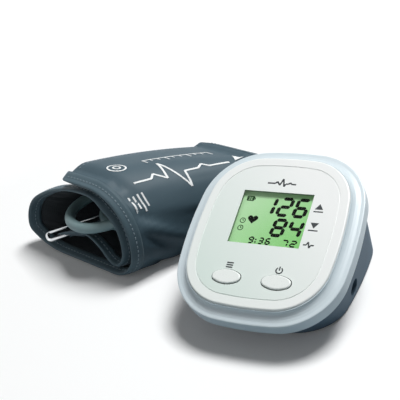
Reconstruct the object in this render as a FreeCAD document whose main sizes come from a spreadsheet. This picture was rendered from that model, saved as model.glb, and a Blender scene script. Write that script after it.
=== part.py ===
"""Table-top blood pressure monitor with its arm cuff rolled up beside it.

Millimetres. The origin is on the table under the middle of the base, +X to the user's right, +Y to the back
and +Z up. The face leans back about X: "face" places below are (x, up the face, along its outward normal).
"""

import FreeCAD
import Part
import Sketcher

import math
import os

Vector = FreeCAD.Vector
Constraint = Sketcher.Constraint

os.makedirs("parts", exist_ok=True)
doc = FreeCAD.newDocument("monitor")
sheet = doc.addObject("Spreadsheet::Sheet", "Sizes")

SIZES = {
    # where the face stands
    "face_tilt": 22,
    "face_height": 53,
    "face_forward": 20,
    # outline of the ring round the face, and what is set in from it
    "flange_half_width": 59,
    "flange_half_depth": 65,
    "flange_side_radius": 236,
    "flange_end_radius": 233,
    "flange_corner_radius": 42,
    "shoulder_width": 8.6,
    "shoulder_drop": 5.6,
    "shoulder_lip": 0.6,
    "shoulder_lip_drop": 1.2,
    "shoulder_edge": 0.8,
    "band_height": 9,
    "case_wall": 2.2,
    "ledge_width": 3,
    "panel_fit": 0.15,
    # face panel
    "panel_thickness": 3,
    "rim_fillet": 1.2,
    "groove_inset": 15.3,
    "groove_width": 0.7,
    "groove_depth": 0.35,
    # display
    "window_width": 49.4,
    "window_height": 40.4,
    "window_up": 8.7,
    "window_recess": 1.2,
    "lens_margin": 2,
    "lens_thickness": 1.6,
    "lens_fit": 0.2,
    "glass_thickness": 2.2,
    "glass_margin": 1.2,
    "frame_rim": 2.4,
    "strip_width": 2.4,
    "strip_inset": 1.2,
    # push buttons and the switches under them
    "button_side": 17,
    "button_down": 36.8,
    "button_half_width": 9.8,
    "button_half_height": 5,
    "button_end_radius": 3.4,
    "button_fit": 0.5,
    "button_crown": 1.1,
    "button_fillet": 0.9,
    "button_lip": 1.8,
    "button_lip_thickness": 1,
    "button_lip_gap": 0.3,
    "plunger_radius": 1.6,
    "plunger_fit": 0.3,
    "plunger_length": 3,
    "switch_side": 6.2,
    "switch_height": 3.4,
    "switch_clear": 0.9,
    # board
    "board_gap": 6.4,
    "board_thickness": 1.6,
    "board_half_width": 36,
    "board_top": 41,
    "board_bottom": 51,
    "post_radius": 2,
    "post_edge": 5,
    "post_clear": 0.3,
    "board_screw_radius": 1,
    "board_screw_length": 4.4,
    "board_screw_head": 2,
    "board_screw_head_height": 1.2,
    "board_hole_fit": 0.2,
    "chip_side": 12,
    "chip_height": 1.8,
    "chip_up": 4,
    "connector_width": 16,
    "connector_depth": 6,
    "connector_height": 5,
    "connector_up": 26,
    "buzzer_radius": 6,
    "buzzer_height": 5,
    "buzzer_edge": 14,
    "buzzer_down": 22,
    "sensor_side": 31,
    "sensor_up": 22,
    "sensor_width": 7,
    "sensor_height": 4,
    "nipple_radius": 1.5,
    "nipple_length": 4,
    # base
    "base_half_width": 51,
    "base_half_depth": 57.5,
    "base_side_radius": 320,
    "base_end_radius": 317,
    "base_corner_radius": 32,
    "base_top_inset": 3.5,
    "lip_inset": 1.2,
    "lip_thickness": 2,
    "foot_height": 1,
    "foot_radius": 5.5,
    "foot_side": 33,
    "foot_along": 44,
    # case screws at the back
    "screw_side": 38,
    "screw_back": 30,
    "screw_post_radius": 4,
    "screw_boss_radius": 3.2,
    "screw_radius": 1.45,
    "screw_hole_fit": 0.25,
    "screw_head_radius": 2.8,
    "screw_head_height": 2,
    "screw_sink_radius": 3.3,
    "screw_seat": 46,
    "screw_length": 18,
    # battery well, cells, contacts and door
    "cell_radius": 7.1,
    "cell_length": 49.2,
    "cell_pitch": 14.8,
    "cell_nub_radius": 2.7,
    "cell_nub_length": 1.2,
    "cell_lift": 4.6,
    "contact_thickness": 0.4,
    "contact_half_width": 5,
    "contact_height": 12,
    "contact_leaf": 2.4,
    "well_clear": 0.4,
    "well_wall": 1.6,
    "door_half_width": 31.8,
    "door_front": 33,
    "door_back": 33.7,
    "door_thickness": 2,
    "door_fit": 0.5,
    "door_back_clear": 1.7,
    "door_top_clear": 0.4,
    "door_ledge": 2.6,
    "door_frame_wall": 4.2,
    "hinge_back": 33.2,
    "hinge_rise": 1.5,
    "hinge_pin_radius": 0.7,
    "hinge_pin_reach": 1.6,
    "hinge_fit": 0.1,
    "thumb_half_width": 7,
    "thumb_depth": 4,
    "thumb_cut": 0.9,
    # pump on the battery well
    "pump_left": 27,
    "pump_back": 20,
    "pump_rise": 1.2,
    "head_radius": 13,
    "head_length": 25,
    "motor_radius": 12,
    "motor_length": 30,
    "shaft_radius": 1,
    "shaft_fit": 0.05,
    "crank_chamber_radius": 9,
    "crank_chamber_depth": 12,
    "crank_radius": 5,
    "crank_offset": 2,
    "crank_length": 6,
    "shaft_reach": 9,
    "outlet_rise": 6,
    "saddle_width": 8,
    "saddle_depth": 20,
    # valve, manifold, socket and inner tubes
    "valve_left": 44,
    "valve_width": 11,
    "valve_front": 30,
    "valve_length": 22,
    "valve_height": 11,
    "valve_bore_radius": 3,
    "valve_bore_depth": 14,
    "valve_plunger_fit": 0.1,
    "valve_plunger_length": 12,
    "valve_port_inset": 3,
    "valve_port_back": 6,
    "manifold_right": 28,
    "manifold_depth": 12,
    "manifold_height": 8,
    "socket_back": 10,
    "socket_rise": 26,
    "socket_radius": 6.5,
    "socket_fit": 0.15,
    "socket_outer": 54.6,
    "socket_inner": 44,
    "socket_collar_radius": 8,
    "socket_collar_length": 2,
    "socket_collar_at": 47,
    "socket_bore_radius": 3,
    "socket_bore_depth": 10,
    "tube_radius": 2,
    # power jack in the right side
    "jack_front": 17.5,
    "jack_rise": 11,
    "jack_outer": 47.6,
    "jack_length": 11,
    "jack_half_width": 6,
    "jack_height": 14,
    "jack_bore_radius": 3.2,
    "jack_bore_depth": 9.2,
    "jack_pin_radius": 1,
    "jack_pin_short": 1.2,
    "jack_hole_radius": 5.8,
    # rolled cuff: where its two ends stand and how its sheet rolls up
    "cuff_near_x": -163,
    "cuff_near_y": -15.3,
    "cuff_far_x": -75.6,
    "cuff_far_y": 80.8,
    "cuff_end_turn": -16,
    "cuff_lean": 0.2,
    "cuff_rise": 2.5,
    "cuff_sheet": 4,
    "cuff_step": 6,
    "cuff_core": 1.2,
    "crown_along": 12,
    "crown_rise": 5,
    "near_right": 55.5,
    "near_low_radius": 21,
    "near_high_radius": 44,
    "near_flap_radius": 50,
    "near_flap_x": -10,
    "near_slope_radius": 100,
    "near_slope_x": 6,
    "near_bulge_radius": 30,
    "near_under_radius": 8,
    "near_tuck_radius": 70,
    "near_inner_right": 46,
    "near_inner_low": 14,
    "near_hump_run": 8,
    "near_hump_radius": 26,
    "far_right": 45,
    "far_low_radius": 16,
    "far_high_radius": 25.5,
    "far_flap_radius": 40,
    "far_flap_x": -22,
    "far_slope_radius": 30,
    "far_slope_x": -23.5,
    "far_bulge_radius": 22,
    "far_under_radius": 6,
    "far_tuck_radius": 30,
    "far_inner_right": 38,
    "far_inner_low": 10.5,
    "far_hump_run": 5,
    "far_hump_radius": 16,
    "flap_turn": 5,
    "slope_turn": 34,
    "tuck_turn": 30,
    "hump_turn": 35,
    "crest_turn": 12,
    "sewn_radius": 300,
    "sewn_turn": 5,
    "binding_width": 8,
    "binding_thickness": 0.5,
    "hook_thickness": 0.8,
    "hook_near": 0.2,
    "hook_far": 0.8,
    # metal ring in the sewn end of the cuff
    "ring_wire_radius": 1.5,
    "ring_fit": 0.3,
    "ring_depth": 7.5,
    "ring_bend": 3,
    "ring_near_reach": 7,
    "ring_far_reach": 5,
    "ring_turn": 160,
    "strap_wall": 0.8,
    "strap_inset": 9,
    "strap_gap": 0.1,
    # air hose, folded up inside the roll
    "hose_radius": 4,
    "hank_radius": 27.5,
    "hank_start": 27,
    "hank_end": 90,
    "hank_inner_start": 52,
    "hank_across": -2,
    "hank_rise": 39.6,
    "hank_fall": 10.4,
    "hank_bow": 2,
    "hank_lead": 34,
    "hank_tail": 16,
    "tail_veer": 2.5,
    "tail_drop": 1.5,
    "hose_port_length": 9,
    "hose_port_radius": 5,
    "hose_port_stem": 3.5,
    "hose_port_reach": 11,
    "plug_length": 22,
    "plug_radius": 5,
    "plug_nose_radius": 2.9,
    "plug_nose_length": 9,
}

for row, (alias, value) in enumerate(SIZES.items(), start=1):
    sheet.set(f"A{row}", alias)
    sheet.set(f"B{row}", str(value))
    sheet.setAlias(f"B{row}", alias)
doc.recompute()

NODES = []


def size(alias):
    """A sheet value as a plain number."""
    return float(getattr(sheet, alias))


def named(text):
    """An expression with each size's alias written with its sheet."""
    words = []
    word = ""
    for letter in text + " ":
        if letter.isalnum() or letter == "_":
            word += letter
            continue
        words.append("Sizes." + word if word in SIZES else word)
        words.append(letter)
        word = ""
    return "".join(words).strip()


def worth(text):
    """The number that an expression of sizes gives now."""
    return float(sheet.evalExpression(named(text)))


def bind(obj, path, text):
    obj.setExpression(path, named(text))


def node(obj, label):
    """Keeps an object as one of the sub-parts that are written out."""
    obj.Label = label
    NODES.append(obj)
    return obj


TILT = "face_tilt * 1deg"


def on_face(obj, x="0", up="0", out="0"):
    """Places an object at a place on the face, leaning with it."""
    obj.Placement = FreeCAD.Placement(Vector(), FreeCAD.Rotation(Vector(1, 0, 0), size("face_tilt")))
    bind(obj, "Placement.Rotation.Angle", TILT)
    bind(obj, "Placement.Base.x", x)
    bind(obj, "Placement.Base.y", f"-face_forward + ({up}) * cos({TILT}) - ({out}) * sin({TILT})")
    bind(obj, "Placement.Base.z", f"face_height + ({up}) * sin({TILT}) + ({out}) * cos({TILT})")
    return obj


def at(obj, x="0", y="0", z="0"):
    """Places an upright object."""
    bind(obj, "Placement.Base.x", x)
    bind(obj, "Placement.Base.y", y)
    bind(obj, "Placement.Base.z", z)
    return obj


def box(name, wide, deep, high):
    obj = doc.addObject("Part::Box", name)
    bind(obj, "Length", wide)
    bind(obj, "Width", deep)
    bind(obj, "Height", high)
    return obj


def rod(name, radius, length, axis=None):
    """A cylinder along +Z, or turned to lie along another axis."""
    obj = doc.addObject("Part::Cylinder", name)
    bind(obj, "Radius", radius)
    bind(obj, "Height", length)
    if axis:
        obj.Placement = FreeCAD.Placement(Vector(), FreeCAD.Rotation(Vector(0, 0, 1), Vector(*axis)))
    return obj


def cut(name, base, tool):
    obj = doc.addObject("Part::Cut", name)
    obj.Base = base
    obj.Tool = tool
    return obj


def common(name, base, tool):
    obj = doc.addObject("Part::Common", name)
    obj.Base = base
    obj.Tool = tool
    return obj


def fuse(name, *shapes):
    obj = doc.addObject("Part::MultiFuse", name)
    obj.Shapes = list(shapes)
    return obj


def group(name, *links):
    obj = doc.addObject("Part::Compound", name)
    obj.Links = list(links)
    return obj


def new_body(name):
    return doc.addObject("PartDesign::Body", name)


def origin_plane(body, role):
    return next(plane for plane in body.Origin.OriginFeatures if plane.Role == role)


def new_sketch(body, name, level="0", role="XY_Plane"):
    """A sketch on one of the body's planes, moved along its normal."""
    sketch = body.newObject("Sketcher::SketchObject", name)
    sketch.AttachmentSupport = [(origin_plane(body, role), "")]
    sketch.MapMode = "FlatFace"
    bind(sketch, "AttachmentOffset.Base.z", level)
    return sketch


def leaning_sketch(body, name, out):
    """A sketch in an upright body on a plane along the face, at a distance out along its normal."""
    sketch = new_sketch(body, name)
    lean = FreeCAD.Rotation(Vector(1, 0, 0), size("face_tilt"))
    sketch.AttachmentOffset = FreeCAD.Placement(Vector(), lean)
    bind(sketch, "AttachmentOffset.Rotation.Angle", TILT)
    bind(sketch, "AttachmentOffset.Base.y", f"-face_forward - ({out}) * sin({TILT})")
    bind(sketch, "AttachmentOffset.Base.z", f"face_height + ({out}) * cos({TILT})")
    return sketch


def hold(sketch, constraint, text):
    """Adds a constraint whose value follows an expression."""
    index = sketch.addConstraint(constraint)
    bind(sketch, f"Constraints[{index}]", text)


def corner_centre(half_width, half_depth, side, end, corner):
    """Centre of the corner arc that touches the side arc and the end arc from inside."""
    side_centre = Vector(half_width - side, 0, 0)
    end_centre = Vector(0, half_depth - end, 0)
    apart = end_centre.sub(side_centre)
    along = Vector(apart)
    along.normalize()
    square = Vector(along.y, -along.x, 0)
    reach = ((side - corner) ** 2 - (end - corner) ** 2 + apart.Length**2) / (2 * apart.Length)
    height = math.sqrt((side - corner) ** 2 - reach**2)
    found = [side_centre + along * reach + square * height * way for way in (1, -1)]
    return max(found, key=lambda point: point.x + point.y)


def add_outline(sketch, half_width, half_depth, side, end, corner):
    """A closed outline of four long arcs and four corner arcs, each touching the next."""
    a, b, rs, re, rc = (worth(text) for text in (half_width, half_depth, side, end, corner))
    c = corner_centre(a, b, rs, re, rc)
    low = math.atan2(c.y, c.x - (a - rs))
    high = math.atan2(c.y - (b - re), c.x)
    turn = math.pi
    arcs = [
        (Vector(a - rs, 0, 0), rs, -low, low),
        (Vector(c.x, c.y, 0), rc, low, high),
        (Vector(0, b - re, 0), re, high, turn - high),
        (Vector(-c.x, c.y, 0), rc, turn - high, turn - low),
        (Vector(rs - a, 0, 0), rs, turn - low, turn + low),
        (Vector(-c.x, -c.y, 0), rc, turn + low, turn + high),
        (Vector(0, re - b, 0), re, turn + high, 2 * turn - high),
        (Vector(c.x, -c.y, 0), rc, 2 * turn - high, 2 * turn - low),
    ]
    first = sketch.GeometryCount
    for centre, radius, start, stop in arcs:
        sketch.addGeometry(Part.ArcOfCircle(Part.Circle(centre, Vector(0, 0, 1), radius), start, stop), False)
    for i in range(8):
        sketch.addConstraint(Constraint("Tangent", first + i, 2, first + (i + 1) % 8, 1))
    hold(sketch, Constraint("Radius", first, rs), side)
    hold(sketch, Constraint("Radius", first + 2, re), end)
    hold(sketch, Constraint("Radius", first + 1, rc), corner)
    for one, other in ((0, 4), (2, 6), (1, 3), (1, 5), (1, 7)):
        sketch.addConstraint(Constraint("Equal", first + one, first + other))
    for one, axis in ((0, -1), (4, -1), (2, -2), (6, -2)):
        sketch.addConstraint(Constraint("PointOnObject", first + one, 3, axis))
    hold(sketch, Constraint("DistanceX", first, 3, -1, 1, rs - a), f"({side}) - ({half_width})")
    hold(sketch, Constraint("DistanceX", -1, 1, first + 4, 3, rs - a), f"({side}) - ({half_width})")
    hold(sketch, Constraint("DistanceY", first + 2, 3, -1, 1, re - b), f"({end}) - ({half_depth})")
    hold(sketch, Constraint("DistanceY", -1, 1, first + 6, 3, re - b), f"({end}) - ({half_depth})")


def flange_outline(sketch, inset="0"):
    names = ("half_width", "half_depth", "side_radius", "end_radius", "corner_radius")
    add_outline(sketch, *(f"flange_{name} - ({inset})" for name in names))


def base_outline(sketch, inset="0"):
    names = ("half_width", "half_depth", "side_radius", "end_radius", "corner_radius")
    add_outline(sketch, *(f"base_{name} - ({inset})" for name in names))


def add_oval(sketch, half_width, half_height, end_radius):
    """An oval of two end arcs and two flatter arcs, about the sketch's origin."""
    a, b, r = worth(half_width), worth(half_height), worth(end_radius)
    flat = ((a - r) ** 2 + b * b - r * r) / (2 * (b - r))
    turn = math.atan2(flat - b, a - r)
    pi = math.pi
    arcs = [
        (Vector(a - r, 0, 0), r, -turn, turn),
        (Vector(0, b - flat, 0), flat, turn, pi - turn),
        (Vector(r - a, 0, 0), r, pi - turn, pi + turn),
        (Vector(0, flat - b, 0), flat, pi + turn, 2 * pi - turn),
    ]
    first = sketch.GeometryCount
    for centre, radius, start, stop in arcs:
        sketch.addGeometry(Part.ArcOfCircle(Part.Circle(centre, Vector(0, 0, 1), radius), start, stop), False)
    for i in range(4):
        sketch.addConstraint(Constraint("Tangent", first + i, 2, first + (i + 1) % 4, 1))
    hold(sketch, Constraint("Radius", first, r), end_radius)
    for one, axis in ((0, -1), (2, -1), (3, -2)):
        sketch.addConstraint(Constraint("PointOnObject", first + one, 3, axis))
    hold(sketch, Constraint("DistanceX", -1, 1, first, 3, a - r), f"({half_width}) - ({end_radius})")
    hold(sketch, Constraint("DistanceX", first + 2, 3, -1, 1, a - r), f"({half_width}) - ({end_radius})")
    reach = f"(({half_width}) - ({end_radius}))^2 + ({half_height})^2 - ({end_radius})^2"
    across = f"2 * (({half_height}) - ({end_radius}))"
    drop = f"({reach}) / ({across}) - ({half_height})"
    hold(sketch, Constraint("DistanceY", first + 1, 3, -1, 1, flat - b), drop)
    hold(sketch, Constraint("DistanceY", -1, 1, first + 3, 3, flat - b), drop)


def add_rectangle(sketch, left, right, front, back):
    """A rectangle given by expressions for its four sides."""
    x0, x1, y0, y1 = (worth(text) for text in (left, right, front, back))
    corners = [Vector(x0, y0, 0), Vector(x1, y0, 0), Vector(x1, y1, 0), Vector(x0, y1, 0)]
    first = sketch.GeometryCount
    for i in range(4):
        sketch.addGeometry(Part.LineSegment(corners[i], corners[(i + 1) % 4]), False)
    for i in range(4):
        sketch.addConstraint(Constraint("Coincident", first + i, 2, first + (i + 1) % 4, 1))
    for i, way in enumerate(("Horizontal", "Vertical", "Horizontal", "Vertical")):
        sketch.addConstraint(Constraint(way, first + i))
    hold(sketch, Constraint("DistanceX", -1, 1, first, 1, x0), left)
    hold(sketch, Constraint("DistanceY", -1, 1, first, 1, y0), front)
    hold(sketch, Constraint("DistanceX", -1, 1, first + 1, 2, x1), right)
    hold(sketch, Constraint("DistanceY", -1, 1, first + 1, 2, y1), back)


def add_circle(sketch, x, y, radius):
    place = Vector(worth(x), worth(y), 0)
    index = sketch.addGeometry(Part.Circle(place, Vector(0, 0, 1), worth(radius)), False)
    hold(sketch, Constraint("Radius", index, worth(radius)), radius)
    hold(sketch, Constraint("DistanceX", -1, 1, index, 3, place.x), x)
    hold(sketch, Constraint("DistanceY", -1, 1, index, 3, place.y), y)


def add_pad(body, sketch, length, name):
    pad = body.newObject("PartDesign::Pad", name)
    pad.Profile = sketch
    bind(pad, "Length", length)
    return pad


def add_pocket(body, sketch, length, name, upward=False):
    """A pocket that has to take some of the solid away."""
    doc.recompute()
    before = body.Shape.Volume
    pocket = body.newObject("PartDesign::Pocket", name)
    pocket.Profile = sketch
    pocket.Reversed = upward
    bind(pocket, "Length", length)
    doc.recompute()
    if body.Shape.Volume > before - 1e-6:
        raise RuntimeError(f"{name} cuts nothing")
    return pocket


def add_loft(body, kind, name, sketches, ruled=False):
    loft = body.newObject(f"PartDesign::{kind}", name)
    loft.Profile = sketches[0]
    loft.Sections = sketches[1:]
    loft.Ruled = ruled
    return loft


BAND_BOTTOM = "-shoulder_drop - band_height"
LIP_BOTTOM = f"{BAND_BOTTOM} - lip_thickness"
BOARD_TOP = "-panel_thickness - board_gap"
BOARD_BOTTOM = f"{BOARD_TOP} - board_thickness"
VALVE_PORT_SIDE = "valve_left - valve_width + valve_port_inset"
VALVE_PORT_FRONT = "valve_front - valve_length + valve_port_back"


EDGE_STEPS = 2
COVE_STEPS = 6


def shoulder_steps():
    """Inset and height of the shoulder's outlines: round its outer edge, then up its hollow cove."""
    steps = []
    for i in range(EDGE_STEPS):
        turn = f"{90 * i / EDGE_STEPS} * 1deg"
        inset = f"shoulder_edge * (1 - cos({turn}))"
        steps.append((inset, f"-shoulder_drop - shoulder_edge * (1 - sin({turn}))"))
    wide = "shoulder_width - shoulder_lip - shoulder_edge"
    high = "shoulder_drop - shoulder_lip_drop"
    for i in range(COVE_STEPS + 1):
        turn = f"{90 * i / COVE_STEPS} * 1deg"
        inset = f"shoulder_edge + ({wide}) * sin({turn})"
        steps.append((inset, f"-shoulder_lip_drop - ({high}) * cos({turn})"))
    return steps


# upper case: a ring with an upright band, a coved shoulder and a ledge for the panel
def build_upper_case():
    body = new_body("upper_shell")
    band = new_sketch(body, "band_outline", BAND_BOTTOM)
    flange_outline(band)
    add_pad(body, band, "band_height - shoulder_edge", "band")
    shoulder = []
    for i, (inset, level) in enumerate(shoulder_steps()):
        step = new_sketch(body, f"shoulder_{i}", level)
        flange_outline(step, inset)
        shoulder.append(step)
    add_loft(body, "AdditiveLoft", "shoulder", shoulder, ruled=True)
    inside = new_sketch(body, "band_inside", BAND_BOTTOM)
    flange_outline(inside, "case_wall")
    add_pocket(body, inside, "band_height - case_wall", "band_hollow", upward=True)
    opening = new_sketch(body, "ledge_inside", BAND_BOTTOM)
    flange_outline(opening, "shoulder_width + ledge_width")
    add_pocket(body, opening, "band_height + shoulder_drop", "opening", upward=True)
    seat = new_sketch(body, "panel_seat", "-panel_thickness")
    flange_outline(seat, "shoulder_width - panel_fit")
    add_pocket(body, seat, "panel_thickness", "panel_recess", upward=True)
    on_face(body)

    fill = new_body("band_fill")
    filled = new_sketch(fill, "band_fill_outline", BAND_BOTTOM)
    flange_outline(filled, "case_wall / 2")
    add_pad(fill, filled, "band_height - case_wall / 2", "band_filled")
    on_face(fill)
    bosses = []
    holes = []
    for side in (-1, 1):
        boss = rod(f"boss_{side}", "screw_boss_radius", "face_height")
        at(boss, f"{side} * screw_side", "screw_back", "face_height / 2")
        bosses.append(boss)
        hole = rod(f"boss_hole_{side}", "screw_radius", "screw_length")
        at(hole, f"{side} * screw_side", "screw_back", "screw_seat")
        holes.append(hole)
    trimmed = common("bosses_trimmed", fuse("bosses", *bosses), fill)
    whole = fuse("upper_with_bosses", body, trimmed)
    node(cut("upper_case", whole, fuse("boss_holes", *holes)), "upper_case")


def low_post_row(x):
    """How far up the face the low posts stand, in the rounded corner of the ring's opening."""
    inset = size("shoulder_width") + size("ledge_width")
    names = ("half_width", "half_depth", "side_radius", "end_radius", "corner_radius")
    a, b, rs, re, rc = (size(f"flange_{name}") - inset for name in names)
    corner = corner_centre(a, b, rs, re, rc)
    reach = rc - size("post_radius") - size("post_clear")
    return f"{-corner.y - math.sqrt(reach**2 - (x - corner.x) ** 2)}"


# face panel: rounded rim, engraved line, openings for window and buttons, posts for the board
def build_face_panel():
    body = new_body("face_panel")
    outline = new_sketch(body, "panel_outline", "-panel_thickness")
    flange_outline(outline, "shoulder_width")
    plate = add_pad(body, outline, "panel_thickness", "plate")
    doc.recompute()
    top = [f"Edge{i}" for i, e in enumerate(plate.Shape.Edges, start=1) if e.BoundBox.ZMin > -1e-4]
    rim = body.newObject("PartDesign::Fillet", "rim")
    rim.Base = (plate, top)
    bind(rim, "Radius", "rim_fillet")
    doc.recompute()
    line = new_sketch(body, "engraved_line", "0")
    flange_outline(line, "groove_inset - groove_width / 2")
    flange_outline(line, "groove_inset + groove_width / 2")
    add_pocket(body, line, "groove_depth", "groove")
    view = new_sketch(body, "window_opening", "0")
    half_w, half_h = "window_width / 2", "window_height / 2"
    add_rectangle(view, f"-{half_w}", half_w, f"window_up - {half_h}", f"window_up + {half_h}")
    add_pocket(body, view, "panel_thickness", "window_cut")
    seat = new_sketch(body, "lens_seat", "-panel_thickness")
    wide, high = "window_width / 2 + lens_margin + lens_fit", "window_height / 2 + lens_margin + lens_fit"
    add_rectangle(seat, f"-({wide})", wide, f"window_up - ({high})", f"window_up + ({high})")
    add_pocket(body, seat, "panel_thickness - window_recess", "lens_recess", upward=True)
    for side in (-1, 1):
        hole = new_sketch(body, f"button_opening_{side}", "0")
        bind(hole, "AttachmentOffset.Base.x", f"{side} * button_side")
        bind(hole, "AttachmentOffset.Base.y", "-button_down")
        add_oval(
            hole,
            "button_half_width + button_fit",
            "button_half_height + button_fit",
            "button_end_radius + button_fit",
        )
        add_pocket(body, hole, "panel_thickness", f"button_cut_{side}")
    posts = new_sketch(body, "board_posts", BOARD_TOP)
    post_x = "board_half_width - post_edge"
    rows = ("board_top - post_edge", low_post_row(worth(post_x)))
    places = [(f"{side} * ({post_x})", up) for up in rows for side in (-1, 1)]
    for x, y in places:
        add_circle(posts, x, y, "post_radius")
    add_pad(body, posts, "board_gap", "posts")
    pilots = new_sketch(body, "post_pilots", BOARD_TOP)
    for x, y in places:
        add_circle(pilots, x, y, "board_screw_radius")
    add_pocket(body, pilots, "board_screw_length", "pilots", upward=True)
    on_face(body)
    node(body, "face_panel")
    return places


def face_box(label, wide, high, thick, x, up, out):
    """A box centred at a place on the face, standing out from there."""
    obj = box(label + "_solid", wide, high, thick)
    on_face(obj, f"({x}) - ({wide}) / 2", f"({up}) - ({high}) / 2", out)
    return obj


# display: window, liquid crystal glass, frame and contact strips
def build_display():
    body = new_body("display_window")
    lens = new_sketch(body, "lens_outline", "-window_recess - lens_thickness")
    wide, high = "window_width / 2 + lens_margin", "window_height / 2 + lens_margin"
    add_rectangle(lens, f"-({wide})", wide, f"window_up - ({high})", f"window_up + ({high})")
    add_pad(body, lens, "lens_thickness", "lens")
    on_face(body)
    node(body, "display_window")
    glass_w, glass_h = "window_width + 2 * glass_margin", "window_height + 2 * glass_margin"
    glass_top = "-panel_thickness - lens_fit"
    glass_low = f"{glass_top} - glass_thickness"
    node(face_box("lcd_glass", glass_w, glass_h, "glass_thickness", "0", "window_up", glass_low), "lcd_glass")

    frame = new_body("lcd_frame")
    ring = new_sketch(frame, "frame_ring", BOARD_TOP)
    for margin in ("glass_margin + lens_fit + frame_rim", "glass_margin + lens_fit"):
        w, h = f"window_width / 2 + {margin}", f"window_height / 2 + {margin}"
        add_rectangle(ring, f"-({w})", w, f"window_up - ({h})", f"window_up + ({h})")
    add_pad(frame, ring, "board_gap", "frame_walls")
    on_face(frame)
    node(frame, "lcd_frame")
    strips = []
    strip_high = "board_gap - lens_fit - glass_thickness"
    for way in (-1, 1):
        up = f"window_up + {way} * (window_height / 2 + glass_margin - strip_inset - strip_width / 2)"
        strips.append(face_box(f"strip_{way}", "window_width", "strip_width", strip_high, "0", up, BOARD_TOP))
    node(group("lcd_strips", *strips), "lcd_strips")


# board with its chips, buzzer, sensor, switch bodies and screws
def build_board(places):
    body = new_body("main_board")
    outline = new_sketch(body, "board_outline", BOARD_BOTTOM)
    add_rectangle(outline, "-board_half_width", "board_half_width", "-board_bottom", "board_top")
    for x, y in places:
        add_circle(outline, x, y, "board_screw_radius + board_hole_fit")
    add_pad(body, outline, "board_thickness", "board")
    on_face(body)
    node(body, "main_board")

    chip_low = f"{BOARD_BOTTOM} - chip_height"
    chip = face_box("chip", "chip_side", "chip_side", "chip_height", "0", "chip_up", chip_low)
    plug_low = f"{BOARD_BOTTOM} - connector_height"
    wide, deep, high = "connector_width", "connector_depth", "connector_height"
    plug = face_box("connector", wide, deep, high, "0", "connector_up", plug_low)
    node(group("board_chips", chip, plug), "board_chips")

    buzzer = rod("buzzer", "buzzer_radius", "buzzer_height")
    on_face(buzzer, "board_half_width - buzzer_edge", "-buzzer_down", f"{BOARD_BOTTOM} - buzzer_height")
    node(buzzer, "buzzer")

    can_low = f"{BOARD_BOTTOM} - sensor_height"
    wide, high = "sensor_width", "sensor_height"
    can = face_box("sensor_can", wide, wide, high, "-sensor_side", "sensor_up", can_low)
    nipple = rod("sensor_nipple", "nipple_radius", "nipple_length")
    on_face(nipple, "-sensor_side", "sensor_up", f"{can_low} - nipple_length")
    node(fuse("pressure_sensor", can, nipple), "pressure_sensor")

    screws = []
    for i, (x, up) in enumerate(places):
        head = rod(f"board_screw_head_{i}", "board_screw_head", "board_screw_head_height")
        on_face(head, x, up, f"{BOARD_BOTTOM} - board_screw_head_height")
        shank = rod(f"board_screw_shank_{i}", "board_screw_radius", "board_thickness + board_screw_length")
        on_face(shank, x, up, BOARD_BOTTOM)
        screws.append(fuse(f"board_screw_{i}", head, shank))
    node(group("board_screws", *screws), "board_screws")

    switches = []
    for side in (-1, 1):
        x, up = f"{side} * button_side", "-button_down"
        block = face_box(f"switch_{side}", "switch_side", "switch_side", "switch_height", x, up, BOARD_TOP)
        hole = rod(f"switch_hole_{side}", "plunger_radius + plunger_fit", "switch_height")
        on_face(hole, x, up, f"{BOARD_TOP} + switch_clear")
        switches.append(cut(f"switch_body_{side}", block, hole))
    node(group("switch_bodies", *switches), "switch_bodies")


# push buttons, and the switch plunger that each one presses
def build_button(side, name):
    plunger_low = f"{BOARD_TOP} + 2 * switch_clear"
    plunger_top = f"{plunger_low} + plunger_length"
    lip_top = "-panel_thickness - button_lip_gap"
    lip_low = f"{lip_top} - button_lip_thickness"
    body = new_body(f"{name}_button")
    lip = new_sketch(body, f"{name}_lip", lip_low)
    add_oval(
        lip,
        "button_half_width + button_lip",
        "button_half_height + button_lip",
        "button_end_radius + button_lip",
    )
    add_pad(body, lip, "button_lip_thickness", f"{name}_lip_plate")
    cap = new_sketch(body, f"{name}_cap", lip_low)
    add_oval(cap, "button_half_width", "button_half_height", "button_end_radius")
    crown = add_pad(body, cap, f"button_crown - ({lip_low})", f"{name}_crown")
    doc.recompute()
    high = size("button_crown") - 1e-4
    top = [f"Edge{i}" for i, e in enumerate(crown.Shape.Edges, start=1) if e.BoundBox.ZMin > high]
    soft = body.newObject("PartDesign::Fillet", f"{name}_soft_edge")
    soft.Base = (crown, top)
    bind(soft, "Radius", "button_fillet")
    stem = new_sketch(body, f"{name}_stem", plunger_top)
    add_circle(stem, "0", "0", "plunger_radius")
    add_pad(body, stem, f"({lip_low}) - ({plunger_top})", f"{name}_stem_rod")
    x = f"{side} * button_side"
    on_face(body, x, "-button_down")
    node(body, f"{name}_button")
    plunger = rod(f"{name}_plunger", "plunger_radius", "plunger_length")
    on_face(plunger, x, "-button_down", plunger_low)
    node(plunger, f"{name}_plunger")


WELL_HALF_X = "cell_length / 2 + cell_nub_length + contact_leaf + contact_thickness + well_clear"
WELL_HALF_Y = "2 * cell_pitch + well_clear"
WELL_TOP = "foot_height + cell_lift + 2 * cell_radius + well_clear"
FRAME_HALF_X = "door_half_width + door_fit + door_frame_wall"
FRAME_TOP = "foot_height + door_thickness + door_top_clear + door_ledge"
PUMP_AXIS = f"{WELL_TOP} + well_wall + pump_rise + head_radius"


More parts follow.
